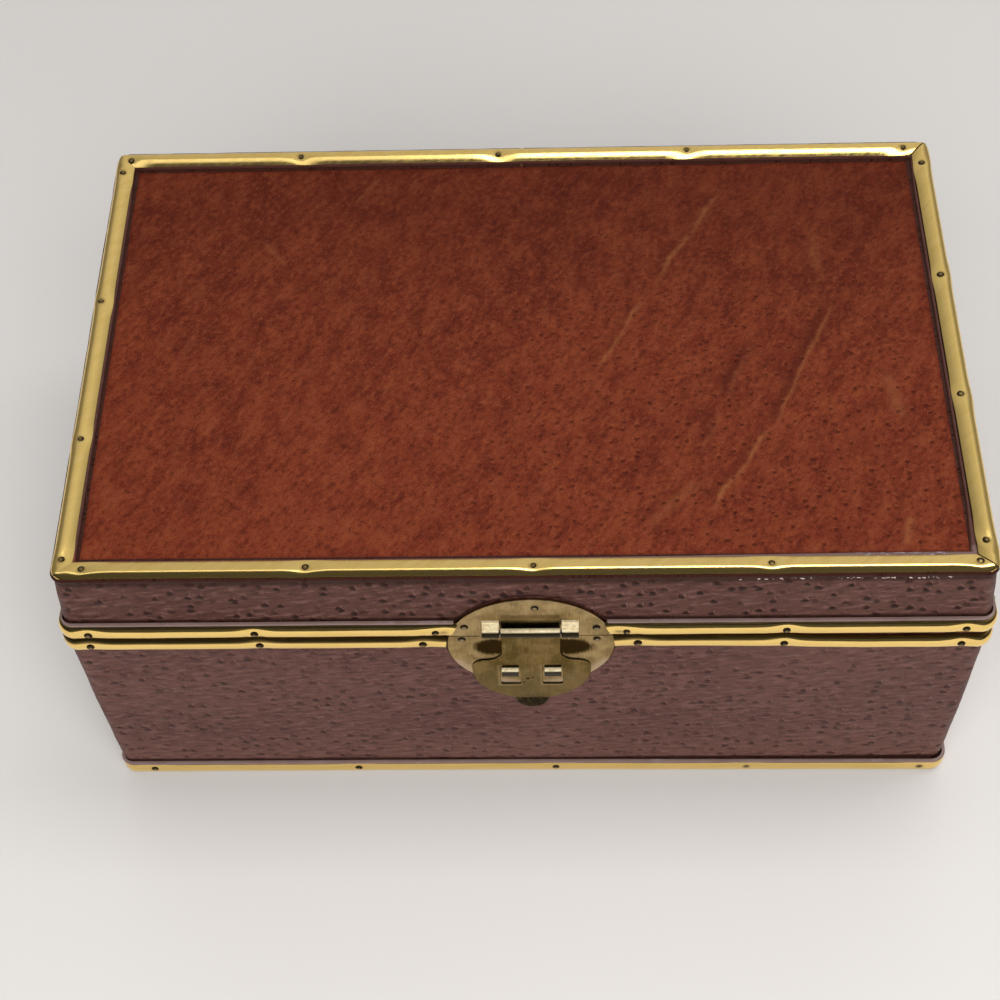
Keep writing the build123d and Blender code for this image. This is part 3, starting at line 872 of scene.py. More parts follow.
class Outline:
    """The walk round the box's plan, anticlockwise from the middle of the back."""

    def __init__(self, half_x, half_y, radius):
        self.half = np.array([half_x, half_y])
        self.radius = radius
        self.flat = self.half - radius
        arc = radius * math.pi / 2
        runs = [self.flat[0], arc, 2 * self.flat[1], arc, 2 * self.flat[0], arc,
                2 * self.flat[1], arc, self.flat[0]]
        self.ends = np.cumsum(runs)
        self.length = self.ends[-1]
        self.arc = arc

    def along_front(self, x):
        """How far along the walk a place on the front is."""
        return self.ends[3] + self.flat[0] + x

    def along_back(self, x):
        """How far along the walk a place on the back is."""
        return -x if x < 0 else self.length - x

    def station(self, way):
        """(share x, share y, normal x, normal y) at a distance along the walk."""
        flat_x, flat_y = self.flat
        corners = ((-1, 1, 90), (-1, -1, 180), (1, -1, 270), (1, 1, 0))
        sides = (((0, 1), (-1, 0), (0, 1)), ((-1, 1), (0, -1), (-1, 0)), ((-1, -1), (1, 0), (0, -1)),
                 ((1, -1), (0, 1), (1, 0)), ((1, 1), (-1, 0), (0, 1)))
        run = int(np.searchsorted(self.ends, way - 1e-9))
        run = min(run, 8)
        gone = way - (self.ends[run - 1] if run else 0.0)
        if run % 2:
            side_x, side_y, start = corners[run // 2]
            angle = math.radians(start + 90 * gone / self.arc)
            return side_x, side_y, math.cos(angle), math.sin(angle)
        (from_x, from_y), (step_x, step_y), normal = sides[run // 2]
        share_x = from_x + step_x * gone / flat_x
        share_y = from_y + step_y * gone / flat_y
        return share_x, share_y, *normal

    def ways(self, start, end, heads):
        """Distances along the walk, closer together in the bends and by the nails."""
        chosen = [np.linspace(start, end, int((end - start) / station_step) + 2)]
        for bend in (0, 2, 4, 6):
            chosen.append(np.arange(self.ends[bend], self.ends[bend + 1] + bend_step, bend_step))
        walls = np.array([self.point(way) for way in np.arange(0, self.length, search_step)])
        for head in heads:
            nearest = search_step * np.linalg.norm(walls - head[:2], axis=1).argmin()
            chosen.append(nearest + np.arange(-by_nail, by_nail + 0.01, nail_step))
        ways = np.unique(np.round(np.concatenate(chosen), 2))
        return ways[(ways >= start) & (ways <= end)]

    def point(self, way):
        """(x, y) on the walls at a distance along the walk."""
        share_x, share_y, normal_x, normal_y = self.station(way)
        return np.array([share_x * self.flat[0] + self.radius * normal_x,
                         share_y * self.flat[1] + self.radius * normal_y])

    def stations(self, ways):
        return np.array([self.station(way) for way in ways])


def walk_points(stations, half_x, half_y, radius, out):
    """Points on a rounded plan at the stations, moved outward by out along the normals."""
    flat = np.array([half_x - radius, half_y - radius])
    return stations[:, :2] * flat + stations[:, 2:] * (radius + np.asarray(out).reshape(-1, 1))


def lean_at(height):
    """How far the lid's walls lean inward at a height."""
    return lid_lean * np.clip((height - parting) / (lid_top - parting), 0, 1)


def smooth_step(value):
    """A share from 0 to 1 that leaves and arrives gently."""
    value = np.clip(value, 0, 1)
    return value * value * (3 - 2 * value)


def sag_at(x, y):
    """How far the base's rim strip hangs below its line, most at its right front corner."""
    along = smooth_step((x - sag_start) / (sag_end - sag_start))
    forward = np.clip((sag_gone - y) / (sag_gone + half_depth), 0, 1)
    return sag_depth * along * np.minimum(1, 2 * forward)


def sagging(places):
    """Nail places let down with the base's rim strip."""
    return [(seat - np.array([0, 0, sag_at(seat[0], seat[1])]), outward) for seat, outward in places]


def out_of_square(points):
    """Points of the lid moved along x as its top is out of square; its rim stays where it is."""
    risen = np.clip((points[:, 2] - parting) / (lid_top - parting), 0, 1)
    back = np.clip((points[:, 1] + half_depth) / (2 * half_depth), 0, 1)
    right = np.clip((points[:, 0] + half_length) / (2 * half_length), 0, 1)
    left_move = left_front_move + (left_back_move - left_front_move) * back
    moved = points.copy()
    moved[:, 0] += risen * (left_move * (1 - right) + right_move * right)
    return moved


# Nails hammered in by hand: along the top, as (x, y), and in the latch plate, as (x, z)
top_nail_places = (
    (-114.6, -73.9), (-56.2, -73.9), (2.8, -74.0), (64.1, -73.9), (117.3, -73.8), (119.8, -67.3),
    (119.6, -19.9), (119.7, 23.1), (119.8, 67.5), (114.9, 74.0), (49.6, 74.4), (-7.6, 73.8),
    (-68.0, 74.0), (-120.1, 73.5), (-122.0, 68.4), (-121.7, 17.2), (-120.8, -31.9), (-120.4, -70.9),
)
lid_latch_nails = ((2.96, 96.95), (-16.0, 88.2), (19.4, 87.6))
base_latch_nails = ((-16.9, 82.2), (19.6, 82.1))


def fitting_nail_places(node, places):
    """The hinges' nails of a node, and its latch nails at their own places."""
    kept = [place for place in nail_places(node) if place[0][1] > 0]
    for x, z in places:
        seat = np.array([x, -half_depth + lean_at(z) - plate_thick - cad_head, z])
        kept.append((seat, np.array([0.0, -1.0, 0.0])))
    return kept


def sunk(places, depth):
    """Nail places moved inward, by a depth for their outward direction."""
    return [(seat - outward * depth(outward), outward) for seat, outward in places]


def side_sunk(outward):
    """How far the rims' nails follow the slimmer strips of the left and the right side."""
    return max(-left_sunk * outward[0], right_sunk * outward[0])


def placed_nails():
    """Each group's nails as (seat, outward) pairs, moved with the strips that they hold."""
    groups = {node: nail_places(node) for node in ("lid_rim_nails", "base_rim_nails", "foot_nails")}
    groups["base_rim_nails"] = sagging(groups["base_rim_nails"])
    groups["foot_nails"] = sunk(groups["foot_nails"], lambda outward: foot_sunk)
    for group in ("lid_rim_nails", "base_rim_nails"):
        groups[group] = sunk(groups[group], side_sunk)
    seat_height = top_high[2] + cad_head - top_nail_sunk
    groups["top_nails"] = [(np.array([x, y, seat_height]), np.array([0.0, 0.0, 1.0]))
                           for x, y in top_nail_places]
    groups["lid_fitting_nails"] = fitting_nail_places("lid_fitting_nails", lid_latch_nails)
    groups["base_fitting_nails"] = fitting_nail_places("base_fitting_nails", base_latch_nails)
    return groups


plan = Outline(half_length, half_depth, corner_radius)
nails = placed_nails()


def near_nails(points, heads, reach):
    """How near each point is to a nail, from 0 to 1."""
    nearest = np.full(len(points), 1e9)
    for head in heads:
        nearest = np.minimum(nearest, np.linalg.norm(points - head, axis=1))
    return np.exp(-(nearest / reach) ** 2)


def wave_noise(ways, pitch, seed):
    """Slow hand-made wander along a strip, from -1 to 1."""
    return np.array([noise.noise(Vector((way / pitch, seed, 0.5))) for way in ways])


# Half-round brass strips and leather rolls round the walls

def half_round(count, width, rise, edge):
    """A half-round section as (up, out) pairs from its lower to its upper edge."""
    angles = np.linspace(-math.pi / 2, math.pi / 2, count)
    up = width / 2 * np.sin(angles)
    out = edge + (rise - edge) * np.cos(angles) ** 0.85
    return np.concatenate([[-width / 2], up, [width / 2]]), np.concatenate([[0.0], out, [0.0]])


class Band:
    """How one kind of strip or roll is made: its finish, body, nails and half-round section."""

    def __init__(self, finish, slot, body, heads, count, edge, seed, slim=(1.0, 1.0), sags=False):
        self.finish = finish
        self.slot = slot
        self.body = body
        self.heads = heads
        self.count = count
        self.edge = edge
        self.seed = seed
        self.slim = slim
        self.sags = sags

    def section(self, node):
        """The wall's lean, the band's middle, width and rise, and its section as (up, out)."""
        low, high = box_mm(node)
        width = (high[2] - low[2]) * self.slim[0]
        middle = low[2] + width / 2
        lean = lean_at(middle)
        reach = max(high[1], -low[1])
        rise = (reach - half_depth + lean) * self.slim[1]
        return lean, middle, width, rise, *half_round(self.count, width, rise, self.edge)


def tarnish_and_hidden_shade(up, width, x):
    """Tarnish along a strip's edges, and on the base's strip painted shade where the lid hides it."""
    share = up / (width / 2)
    amount, start, reach = edge_tarnish
    edges = amount * np.clip((np.abs(share) - start) / reach, 0, 1)
    if x is None:
        return edges
    amount, start, reach = hidden_shade
    hidden = amount * np.clip((share - start) / reach, 0, 1)
    shut = 1 - np.clip((x[:, None] - hidden_until) / hidden_fade, 0, 1)
    return np.maximum(edges[None, :], hidden[None, :] * shut)


def wall_band(name, node, band, start, end, left=left_slim, right=right_slim, right_out=0.0):
    """A strip or roll that follows the walls between two places on the walk."""
    lean, middle, width, rise, up, out = band.section(node)
    ways = plan.ways(start, end, band.heads)
    stations = plan.stations(ways)
    drifted = drift[0] * wave_noise(ways, drift[1], band.seed)
    swollen = swell[0] * wave_noise(ways, swell[1], band.seed + 7.0)
    wall = walk_points(stations, half_length - lean, half_depth - lean, corner_radius, 0.0)
    wall += stations[:, 2:] * right_out * np.clip(stations[:, :1], 0, 1)
    crest = wall + stations[:, 2:] * rise
    sag = sag_at(crest[:, 0], crest[:, 1]) if band.sags else np.zeros(len(crest))
    dent = near_nails(np.column_stack([crest, middle - sag]), band.heads, dent_reach)
    slimmer = np.where(stations[:, 2] < 0, -left * stations[:, 2], right * stations[:, 2])
    squeeze = (1 - dent_flatten * dent + swollen / rise) * (1 - slimmer)
    spread = 1 + dent_widen * dent
    rings = []
    for index in range(len(ways)):
        heights = middle - sag[index] + drifted[index] + up * spread[index]
        ring = wall[index] + np.outer(out * squeeze[index], stations[index, 2:])
        rings.append(np.column_stack([ring, heights]))
    points = np.concatenate(rings)
    seat = near_nails(points, band.heads, seat_reach)
    normals = np.repeat(stations[:, 2:], len(up), axis=0)
    off_wall = np.tile(out, len(ways)) > band.edge * 0.5
    points[:, :2] -= normals * (seat * seat_depth * off_wall)[:, None]
    points[:, 2] = np.maximum(points[:, 2], floor_clear)
    grime_and_shade = tarnish_and_hidden_shade(up, width, wall[:, 0] if band.sags else None)
    grime_and_shade = np.broadcast_to(grime_and_shade, (len(ways), len(up))).ravel()
    tarnish_and_shade = np.maximum(near_nails(points, band.heads, tarnish_reach), grime_and_shade)
    points = follow_plate(points, np.repeat(ways, len(up)), end, start)
    kept = {"place": flat_place(np.repeat(ways, len(up)), points[:, 2]), "tarnish_and_shade": tarnish_and_shade}
    piece = make_piece(name, points, tube_faces(len(ways), len(up)), band.finish, kept, round_smooth)
    return settle(piece, band.body, band.slot, node)


def follow_plate(points, ways, end, start):
    """The ends beside the latch are drawn to the round edge of its plate."""
    reach = plate_reach - under_plate
    height = np.clip(points[:, 2] - (parting - plate_drop), -reach, reach)
    half = np.sqrt(reach ** 2 - height ** 2)
    front_end = plan.along_front(plate_x)
    moved = points.copy()
    for side, limit in ((-1, end), (1, start)):
        if abs(limit - front_end) < 2 * plate_radius:
            near = smooth_step(1 - np.abs(ways - limit) / bent_end)
            target = plate_x + side * half
            moved[:, 0] += near * (target - (plate_x + (limit - front_end)))
    return moved


def wall_runs(name, band):
    """The left, back and right runs of a band that the latch and the hinges part."""
    latch = plan.along_front(plate_x)
    beside = plate_radius + fitting_gap
    inner = hinge_low[0] - fitting_gap
    outer = hinge_high[0] + fitting_gap
    spans = {
        "left": (plan.along_back(-outer), latch - beside),
        "right": (latch + beside, plan.along_back(outer)),
    }
    for side, (start, end) in spans.items():
        wall_band(f"{name}_{side}_dressed", f"{name}_{side}", band, start, end)
    back_band(f"{name}_back", band, inner)


def back_band(node, band, reach):
    """The run of a band between the hinges."""
    lean, middle, width, rise, up, out = band.section(node)
    wall = half_depth - lean
    across = np.linspace(-reach, reach, int(reach / nail_step))
    rings = []
    for x in across:
        dent = near_nails(np.array([[x, wall + rise, middle]]), band.heads, dent_reach)[0]
        heights = middle + up * (1 + dent_widen * dent)
        reach_out = wall + out * (1 - dent_flatten * dent)
        rings.append(np.column_stack([np.full(len(up), x), reach_out, heights]))
    points = np.concatenate(rings)
    seat = near_nails(points, band.heads, seat_reach)
    points[:, 1] -= seat * seat_depth * (points[:, 1] > wall + 0.1)
    grime_and_shade = np.tile(tarnish_and_hidden_shade(up, width, None), len(across))
    kept = {"place": flat_place(points[:, 0] + band.seed * 31, points[:, 2]),
            "tarnish_and_shade": np.maximum(near_nails(points, band.heads, tarnish_reach), grime_and_shade)}
    faces = turned_over(tube_faces(len(across), len(up)))
    piece = make_piece(f"{node}_dressed", points, faces, band.finish, kept, round_smooth)
    return settle(piece, band.body, band.slot, node)


def strip_and_roll_bands():
    """All the brass strips and leather rolls round the walls."""
    heads = {node: [place[0] for place in places] for node, places in nails.items()}
    lid_strip = Band("strip", "strip_brass", "lid", heads["lid_rim_nails"], 15, 0.35, 1.0)
    lid_roll = Band("piping", "mauve_leather", "lid", [], 9, 0.5, 2.0, lid_roll_slim)
    base_strip = Band("strip", "strip_brass", "base", heads["base_rim_nails"], 15, 0.35, 3.0, sags=True)
    foot_strip = Band("strip", "strip_brass", "base", heads["foot_nails"], 15, 0.3, 5.0, foot_strip_slim)
    foot_roll = Band("piping", "mauve_leather", "base", [], 9, 0.4, 5.0, foot_roll_slim)
    wall_runs("lid_rim_strip", lid_strip)
    wall_runs("lid_rim_roll", lid_roll)
    wall_runs("base_rim_strip", base_strip)
    joint = fitting_gap / 2
    for node, band, left in (("foot_strip", foot_strip, left_slim),
                             ("foot_roll", foot_roll, foot_roll_left_slim)):
        wall_band(f"{node}_dressed", node, band, joint, plan.length - joint, left, 0.0, foot_right_out)


# Brass strips and the roll on top of the lid

def top_walk(step):
    """Stops along the front, left, back and right of the top, as (share x, share y) of its half sizes."""
    half_x, half_y = top_high[0], top_high[1]
    stops = []
    corners = ((1, -1), (-1, -1), (-1, 1), (1, 1))
    for (from_x, from_y), (to_x, to_y) in zip(corners, corners[1:] + corners[:1]):
        length = 2 * (half_x if from_x != to_x else half_y)
        shares = np.linspace(0, 1, int(length / step))
        stops.append([(from_x + (to_x - from_x) * s, from_y + (to_y - from_y) * s) for s in shares])
    return stops


def strip_section(width, rise):
    """The top strip's section as (share inward, height): bent over its outer edge, domed inside."""
    angles = np.linspace(0, math.pi / 2, 9)
    outer_share = strip_bend / width * (1 - np.cos(angles))
    outer_high = rise * np.sin(angles)
    inward = np.linspace(0, 1, 9)[1:]
    inner_share = outer_share[-1] + (1 - outer_share[-1]) * inward
    inner_high = rise - strip_fall * inward ** 1.6
    share = np.concatenate([[0.0], outer_share, inner_share, [1.0]])
    return share, np.concatenate([[0.0], outer_high, inner_high, [0.0]])


def roll_section(rise):
    """A small half-round section as (share inward, height)."""
    angles = np.linspace(-math.pi / 2, math.pi / 2, 9)
    share = np.concatenate([[0.0], (1 + np.sin(angles)) / 2, [1.0]])
    return share, np.concatenate([[0.0], 0.3 + (rise - 0.3) * np.cos(angles), [0.0]])


def roll_spread(stop_x, stop_y):
    """How wide the top's roll shows: widest in the right front corner and narrow at the back."""
    rightward = smooth_step((stop_x - 0.1) / 0.8)
    forward = smooth_step((-stop_y - 0.75) / 0.25)
    backward = smooth_step((stop_y - 0.75) / 0.25)
    return 1.0 + 0.7 * rightward * forward - 0.45 * backward


def top_sections(stops, half_x, half_y, width, section, heads, corner, low):
    """Rings of a frame member along its stops, square in its inner corners, on the skewed top."""
    share, high = section
    rings = []
    for stop_x, stop_y in stops:
        shown = width if heads else width * roll_spread(stop_x, stop_y)
        outer = np.array([stop_x * half_x, stop_y * half_y])
        inner = np.array([stop_x * (half_x - shown), stop_y * (half_y - shown)])
        middle = out_of_square(np.append((outer + inner) / 2, low + high.max())[None, :])
        dent = near_nails(middle, heads, dent_reach)[0]
        spread = (outer - inner) / width * top_spread * dent
        ring = outer + spread + np.outer(share, inner - outer - 1.8 * spread)
        rings.append(np.column_stack([ring, low + high * (1 - top_dent * dent)]))
    points = np.concatenate(rings)
    if corner:
        points = round_corner(points, half_x + 0.1, half_y + 0.1, corner)
    points = out_of_square(points)
    seat = near_nails(points, heads, seat_reach)
    points[:, 2] -= seat * seat_depth * (points[:, 2] > low + 0.3)
    return points, len(share)


def round_corner(points, half_x, half_y, radius):
    """Points outside a rounded plan are drawn in to its corners."""
    flat = np.array([half_x - radius, half_y - radius])
    beyond = np.abs(points[:, :2]) - flat
    corner = (beyond > 0).all(axis=1)
    length = np.linalg.norm(beyond, axis=1)
    outside = corner & (length > radius)
    scale = np.where(outside, radius / np.maximum(length, 1e-6), 1.0)
    moved = points.copy()
    drawn = np.sign(points[:, :2]) * (flat + beyond * scale[:, None])
    moved[outside, :2] = drawn[outside]
    return moved


def top_strips():
    """The bent strip on three sides of the top, and the mitred one on the right."""
    heads = [place[0] for place in nails["top_nails"]]
    half_x = box_mm("top_strip_right")[1][0] + top_strip_out
    half_y = top_high[1] + top_strip_out
    width, rise = top_strip_width, top_high[2] - lid_top
    front, left, back, right = top_walk(nail_step)
    for name, stops in (("top_strip", front + left + back), ("top_strip_right", right)):
        points, count = top_sections(stops, half_x, half_y, width, strip_section(width, rise), heads,
                                     top_corner, lid_top)
        if name == "top_strip_right":
            points[:, 0] += mitre_joint
        faces = turned_over(tube_faces(len(points) // count, count))
        place = flat_place(points[:, 0] + points[:, 1], points[:, 0] * 0.7 - points[:, 1] * 0.7)
        ends = np.zeros(len(points))
        ends[:count] = 0.9
        ends[-count:] = 0.9
        along_inside = 0.6 * (np.arange(len(points)) % count >= count - 2)
        tarnish_and_shade = np.maximum(near_nails(points, heads, tarnish_reach), np.maximum(ends, along_inside))
        kept = {"place": place, "tarnish_and_shade": tarnish_and_shade}
        piece = make_piece(f"{name}_dressed", points, faces, "strip", kept, round_smooth)
        settle(piece, "lid", "strip_brass", name)


def top_roll():
    """The leather roll inside the top strips."""
    half_x, half_y = top_roll_high[0] + 0.2, top_roll_high[1] + 0.2
    stops = [stop for side in top_walk(top_roll_step) for stop in side]
    points, count = top_sections(stops, half_x, half_y, top_roll_width, roll_section(1.0), [], 0.0,
                                 lid_top - 0.1)
    wander = np.array([noise.noise(Vector((*(point * 0.08)[:2], 3.0))) for point in points])
    points[:, 2] += 0.12 * wander
    faces = turned_over(grid_faces(len(points) // count, count, True))
    kept = {"place": flat_place(points[:, 0], points[:, 1])}
    piece = make_piece("top_roll_dressed", points, faces, "top_edge", kept, round_smooth)
    settle(piece, "lid", "mauve_leather", "top_roll")


# Leather of the walls and the top

def wall_relief(ways, heights, seed):
    """Gentle lumps and stretch marks of glued leather, in millimetres outward."""
    relief = np.empty((len(ways), len(heights)))
    for row, way in enumerate(ways):
        for column, height in enumerate(heights):
            slow = noise.noise(Vector((way / 21.0, height / 13.0, seed)))
            quick = noise.noise(Vector((way / 5.5, height / 3.2, seed + 9.0)))
            relief[row, column] = 0.16 * slow + 0.07 * quick
    return relief


def shaped(heights, centre, width, amount):
    """A bulge or groove at one height."""
    return amount * np.exp(-((heights - centre) / width) ** 2)


def wall_leather(name, body, low, high, leaning, profile, lip, turned_in, seed):
    """A closed band of leather round the walls, its outer face lumpy and pressed at its edges.

    The lip is a run of (outward, upward) steps from the band's top, for an edge that is rolled up.
    """
    ways = plan.ways(0.0, plan.length, [])
    stations = plan.stations(ways)
    heights = np.linspace(low, high, int((high - low) / wall_row_step))
    relief = wall_relief(ways, heights, seed) + profile(heights)
    relief[-1] = relief[0]
    fade = np.clip((heights - low) / 1.5, 0, 1)
    relief *= fade
    columns, places = [], []

    def add_column(inset, radius, out, height):
        ring = walk_points(stations, half_length - inset, half_depth - inset, radius, out)
        columns.append(np.column_stack([ring, np.full(len(ring), height)]))
        places.append(flat_place(ways, np.full(len(ways), height)))

    for column, height in enumerate(heights):
        add_column(lean_at(height) if leaning else 0.0, corner_radius, relief[:, column], height)
    lean = lean_at(high) if leaning else 0.0
    ripple = 0.10 * wave_noise(ways, 6.0, seed + 20.0)
    ripple[-1] = ripple[0]
    tucked = 1 - lip_tucked * np.abs(stations[:, 2])
    for out, up in lip:
        add_column(lean, corner_radius, out * tucked + ripple, high + up)
    turns = ((turned_in, high), (turned_in, high - leather_thick),
             (leather_thick, high - leather_thick), (leather_thick, low))
    for inset, height in turns:
        leaned = lean if height > low else 0.0
        add_column(leaned + inset, max(corner_radius - inset, 0.2), 0.0, height)
    points = np.stack(columns, axis=1).reshape(-1, 3)
    place = np.stack(places, axis=1).reshape(-1, 3)
    faces = grid_faces(len(ways), len(columns), True)
    # distance from the latch plate's edge, used for the painted shade round it
    from_plate = np.hypot(points[:, 0] - plate_x, points[:, 2] - (parting - plate_drop)) - plate_reach
    from_plate[points[:, 1] > 0] = 99.0
    if leaning:
        points = out_of_square(points)
    kept = {"place": place, "beside": np.abs(from_plate)}
    piece = make_piece(f"{name}_dressed", points, faces, "mauve", kept, gentle_smooth)
    return settle(piece, body, "mauve_leather", name)


def wall_leathers():
    """Leather of the lid's and the base's walls."""

    def lid_profile(heights):
        return (shaped(heights, lid_top + 0.2, 1.0, 0.85) + shaped(heights, lid_top - 8.0, 6.0, 0.2)
                + shaped(heights, roll_top + 0.5, 0.8, -0.3))

    def base_profile(heights):
        return (shaped(heights, foot_top + 0.5, 0.9, -0.35) + shaped(heights, 40.0, 26.0, 0.30)
                + shaped(heights, rim_under - 0.5, 0.9, -0.2))

    lip = ((0.92, lip_rise * 0.25), (0.88, lip_rise * 0.6), (0.66, lip_rise * 0.88), (0.35, lip_rise),
           (0.0, lip_rise * 0.7), (-0.3, 0.0))
    wall_leather("lid_leather", "lid", lid_low[2], lid_top, True, lid_profile, lip, 6.4, 4.0)
    wall_leather("base_leather", "base", base_low[2], base_high[2], False, base_profile, (),
                 leather_thick, 8.0)


# Creases of the top leather: (width, height, pale crest as painted highlight, dark left side as painted
# shade, points in mm)
top_creases = (
    (0.95, 0.32, 0.85, 0.30, ((58.9, 58.8), (56.3, 54.7), (52.3, 47.1), (48.8, 41.6), (45.3, 35.8),
                              (40.9, 28.1), (36.8, 19.8))),
    (0.70, 0.24, 0.70, 0.45, ((35.0, 17.0), (31.0, 9.5), (27.4, 3.3), (23.3, -4.2), (21.6, -7.7))),
    (0.65, 0.34, 0.75, 1.00, ((89.0, 18.2), (85.5, 8.6), (82.0, 0.6), (76.9, -10.0), (73.4, -18.7),
                              (70.1, -25.5), (66.8, -30.8))),
    (0.75, 0.32, 0.85, 0.55, ((68.6, -27.8), (62.6, -36.4), (59.5, -42.0), (55.7, -46.8), (52.8, -51.6),
                              (49.8, -57.0))),
    (0.90, 0.14, 0.20, 0.95, ((65.8, 0.9), (62.2, -6.2), (59.3, -13.2), (55.7, -21.5))),
    (0.90, 0.14, 0.35, 0.50, ((54.5, -23.5), (51.4, -30.3), (48.6, -36.9))),
    (1.70, 0.12, 0.45, 0.20, ((84.2, 41.3), (84.4, 33.5), (85.3, 24.7))),
    (2.40, 0.06, 0.35, 0.00, ((100.8, -10.4), (102.3, -19.1), (103.7, -27.6))),
    (1.60, 0.06, 0.60, 0.00, ((101.9, -58.6), (99.2, -67.8))),
    (2.20, 0.08, 0.30, 0.20, ((47.3, -46.7), (40.6, -53.1), (32.1, -62.4))),
    (0.80, 0.10, 0.45, 0.15, ((-42.0, 67.1), (-47.4, 60.2), (-50.2, 54.9))),
    (1.40, 0.08, 0.45, 0.10, ((-77.5, 42.9), (-74.6, 36.5), (-69.8, 32.5))),
)


def from_line(points, line):
    """Distance of points from a bent line, below 0 on its left, and how far along they lie, 0 to 1."""
    best = np.full(len(points), 1e9)
    signed = np.zeros(len(points))
    along = np.zeros(len(points))
    pairs = list(zip(line, line[1:]))
    for index, (start, end) in enumerate(pairs):
        start, end = np.array(start), np.array(end)
        step = end - start
        away = points - start
        share = np.clip(away @ step / (step @ step), 0, 1)
        distance = np.linalg.norm(away - share[:, None] * step, axis=1)
        turn = step[0] * away[:, 1] - step[1] * away[:, 0]
        closer = distance < best
        best[closer] = distance[closer]
        signed[closer] = (distance * np.sign(turn))[closer]
        along[closer] = (index + share[closer]) / len(pairs)
    return signed, along


def flat_noise(flat, size, seed):
    """Smooth noise at flat points, its lumps about a size in millimetres."""
    return np.array([noise.noise(Vector((x / size, y / size, seed))) for x, y in flat])


def creased(flat):
    """The creases' rise at flat points, with how much painted highlight (pale crest) and painted shade
    (dark left side) each has.
    """
    wobble = np.column_stack([flat_noise(flat, 9.0, 1.0), flat_noise(flat, 9.0, 5.0)])
    ragged = flat_noise(flat, 1.8, 11.0)
    rise, lit_crests, sides = np.zeros((3, len(flat)))
    for width, height, pale, dark, line in top_creases:
        distance, along = from_line(flat + 1.1 * wobble, line)
        ends = np.clip(np.sin(np.clip(along, 0.02, 0.98) * math.pi) * 2.2, 0, 1)
        uneven = ends * np.clip(0.85 + 0.5 * wobble[:, 0] + 0.5 * ragged, 0.1, 1.2)
        crest = uneven * np.exp(-((distance + 0.35 * ragged) / (0.72 * width)) ** 2)
        rise += height * crest
        rise -= 0.4 * height * uneven * np.exp(-((distance + 2.0 * width) / (1.3 * width)) ** 2)
        lit_crests = np.maximum(lit_crests, pale * crest)
        sides = np.maximum(sides, dark * ends * np.exp(-((distance + 1.2 + width) / 1.5) ** 2))
    return rise, np.clip(lit_crests, 0, 1), np.clip(sides, 0, 1)


def top_leather():
    """The rust leather panel, with raised creases, soft lumps and edges pressed under the roll."""
    half_x, half_y = window_high[0] + panel_tuck, window_high[1] + panel_tuck
    xs = np.linspace(-half_x, half_x, int(2 * half_x / leather_step))
    ys = np.linspace(-half_y, half_y, int(2 * half_y / leather_step))
    grid_x, grid_y = np.meshgrid(xs, ys, indexing="ij")
    square = np.column_stack([grid_x.ravel(), grid_y.ravel(), np.full(grid_x.size, window_high[2])])
    flat = out_of_square(square)[:, :2]
    lumps = 0.13 * flat_noise(flat, 17.0, 2.0) + 0.05 * flat_noise(flat, 4.5, 7.0)
    rise, lit_crests, sides = creased(flat)
    edge_gap = np.minimum(half_x - np.abs(square[:, 0]), half_y - np.abs(square[:, 1]))
    edge = np.exp(-(edge_gap / 1.2) ** 2)
    heights = window_high[2] + 0.15 + lumps + rise - 0.45 * edge
    surface = np.column_stack([flat, heights])
    points, faces = closed_slab(surface, len(xs), len(ys), window_low[2])
    extra = len(points) - len(surface)
    kept = {"place": flat_place(points[:, 0], points[:, 1]), "edge": np.append(edge, np.ones(extra)),
            "crease_highlight": np.append(lit_crests, np.zeros(extra)),
            "crease_shade": np.append(sides, np.zeros(extra))}
    piece = make_piece("top_leather_dressed", points, faces, "rust", kept, round_smooth)
    settle(piece, "lid", "rust_leather", "top_leather")


def closed_slab(surface, rows, columns, bottom):
    """A gridded upper surface closed with sides and a flat underside."""
    faces = turned_over(grid_faces(rows, columns, False))
    rim = [row * columns for row in range(rows)]
    rim += [(rows - 1) * columns + column for column in range(1, columns)]
    rim += [row * columns + columns - 1 for row in range(rows - 2, -1, -1)]
    rim += [column for column in range(columns - 2, 0, -1)]
    lower = surface[rim].copy()
    lower[:, 2] = bottom
    first = len(surface)
    count = len(rim)
    for index in range(count):
        following = (index + 1) % count
        faces.append((rim[index], first + index, first + following, rim[following]))
    faces.append(tuple(range(first + count - 1, first - 1, -1)))
    return np.concatenate([surface, lower]), faces


def glue_flecks():
    """Flecks of dried glue along the lip under the front strip, towards the right."""
    chance = np.random.default_rng(41)
    seed_points, seed_faces = lathe([(0.55, -0.8), (1.0, -0.3), (0.95, 0.4), (0.4, 0.9)], 7)
    shapes = []
    for start, end, count in ((54.0, 76.0, 16), (80.0, 112.0, 34)):
        for x in chance.uniform(start, end, count):
            size = chance.uniform(0.06, 0.22)
            points = seed_points * size * np.array([chance.uniform(1.0, 3.0), 0.6, 0.9])
            y = -(half_depth - lid_lean) - chance.uniform(0.80, 0.92)
            z = lid_top - chance.uniform(0.2, 0.9)
            shapes.append((points + np.array([x, y, z]), seed_faces))
    points, faces = joined(*shapes)
    kept = {"place": points}
    piece = make_piece("glue_flecks", out_of_square(points), faces, "glue", kept, round_smooth)
    settle(piece, "lid", "mauve_leather")


# Nails

def lathe(profile, sides):
    """Points and faces of a turned shape round +Z from (radius, height) pairs, closed at the top."""
    angles = np.linspace(0, 2 * math.pi, sides, endpoint=False)
    ring = np.column_stack([np.cos(angles), np.sin(angles)])
    rows = [np.column_stack([ring * radius, np.full(sides, height)]) for radius, height in profile]
    points = np.concatenate(rows)
    faces = grid_faces(len(profile), sides, True)
    faces.append(tuple(range(len(points) - sides, len(points))))
    faces.append(tuple(range(sides - 1, -1, -1)))
    return points, faces


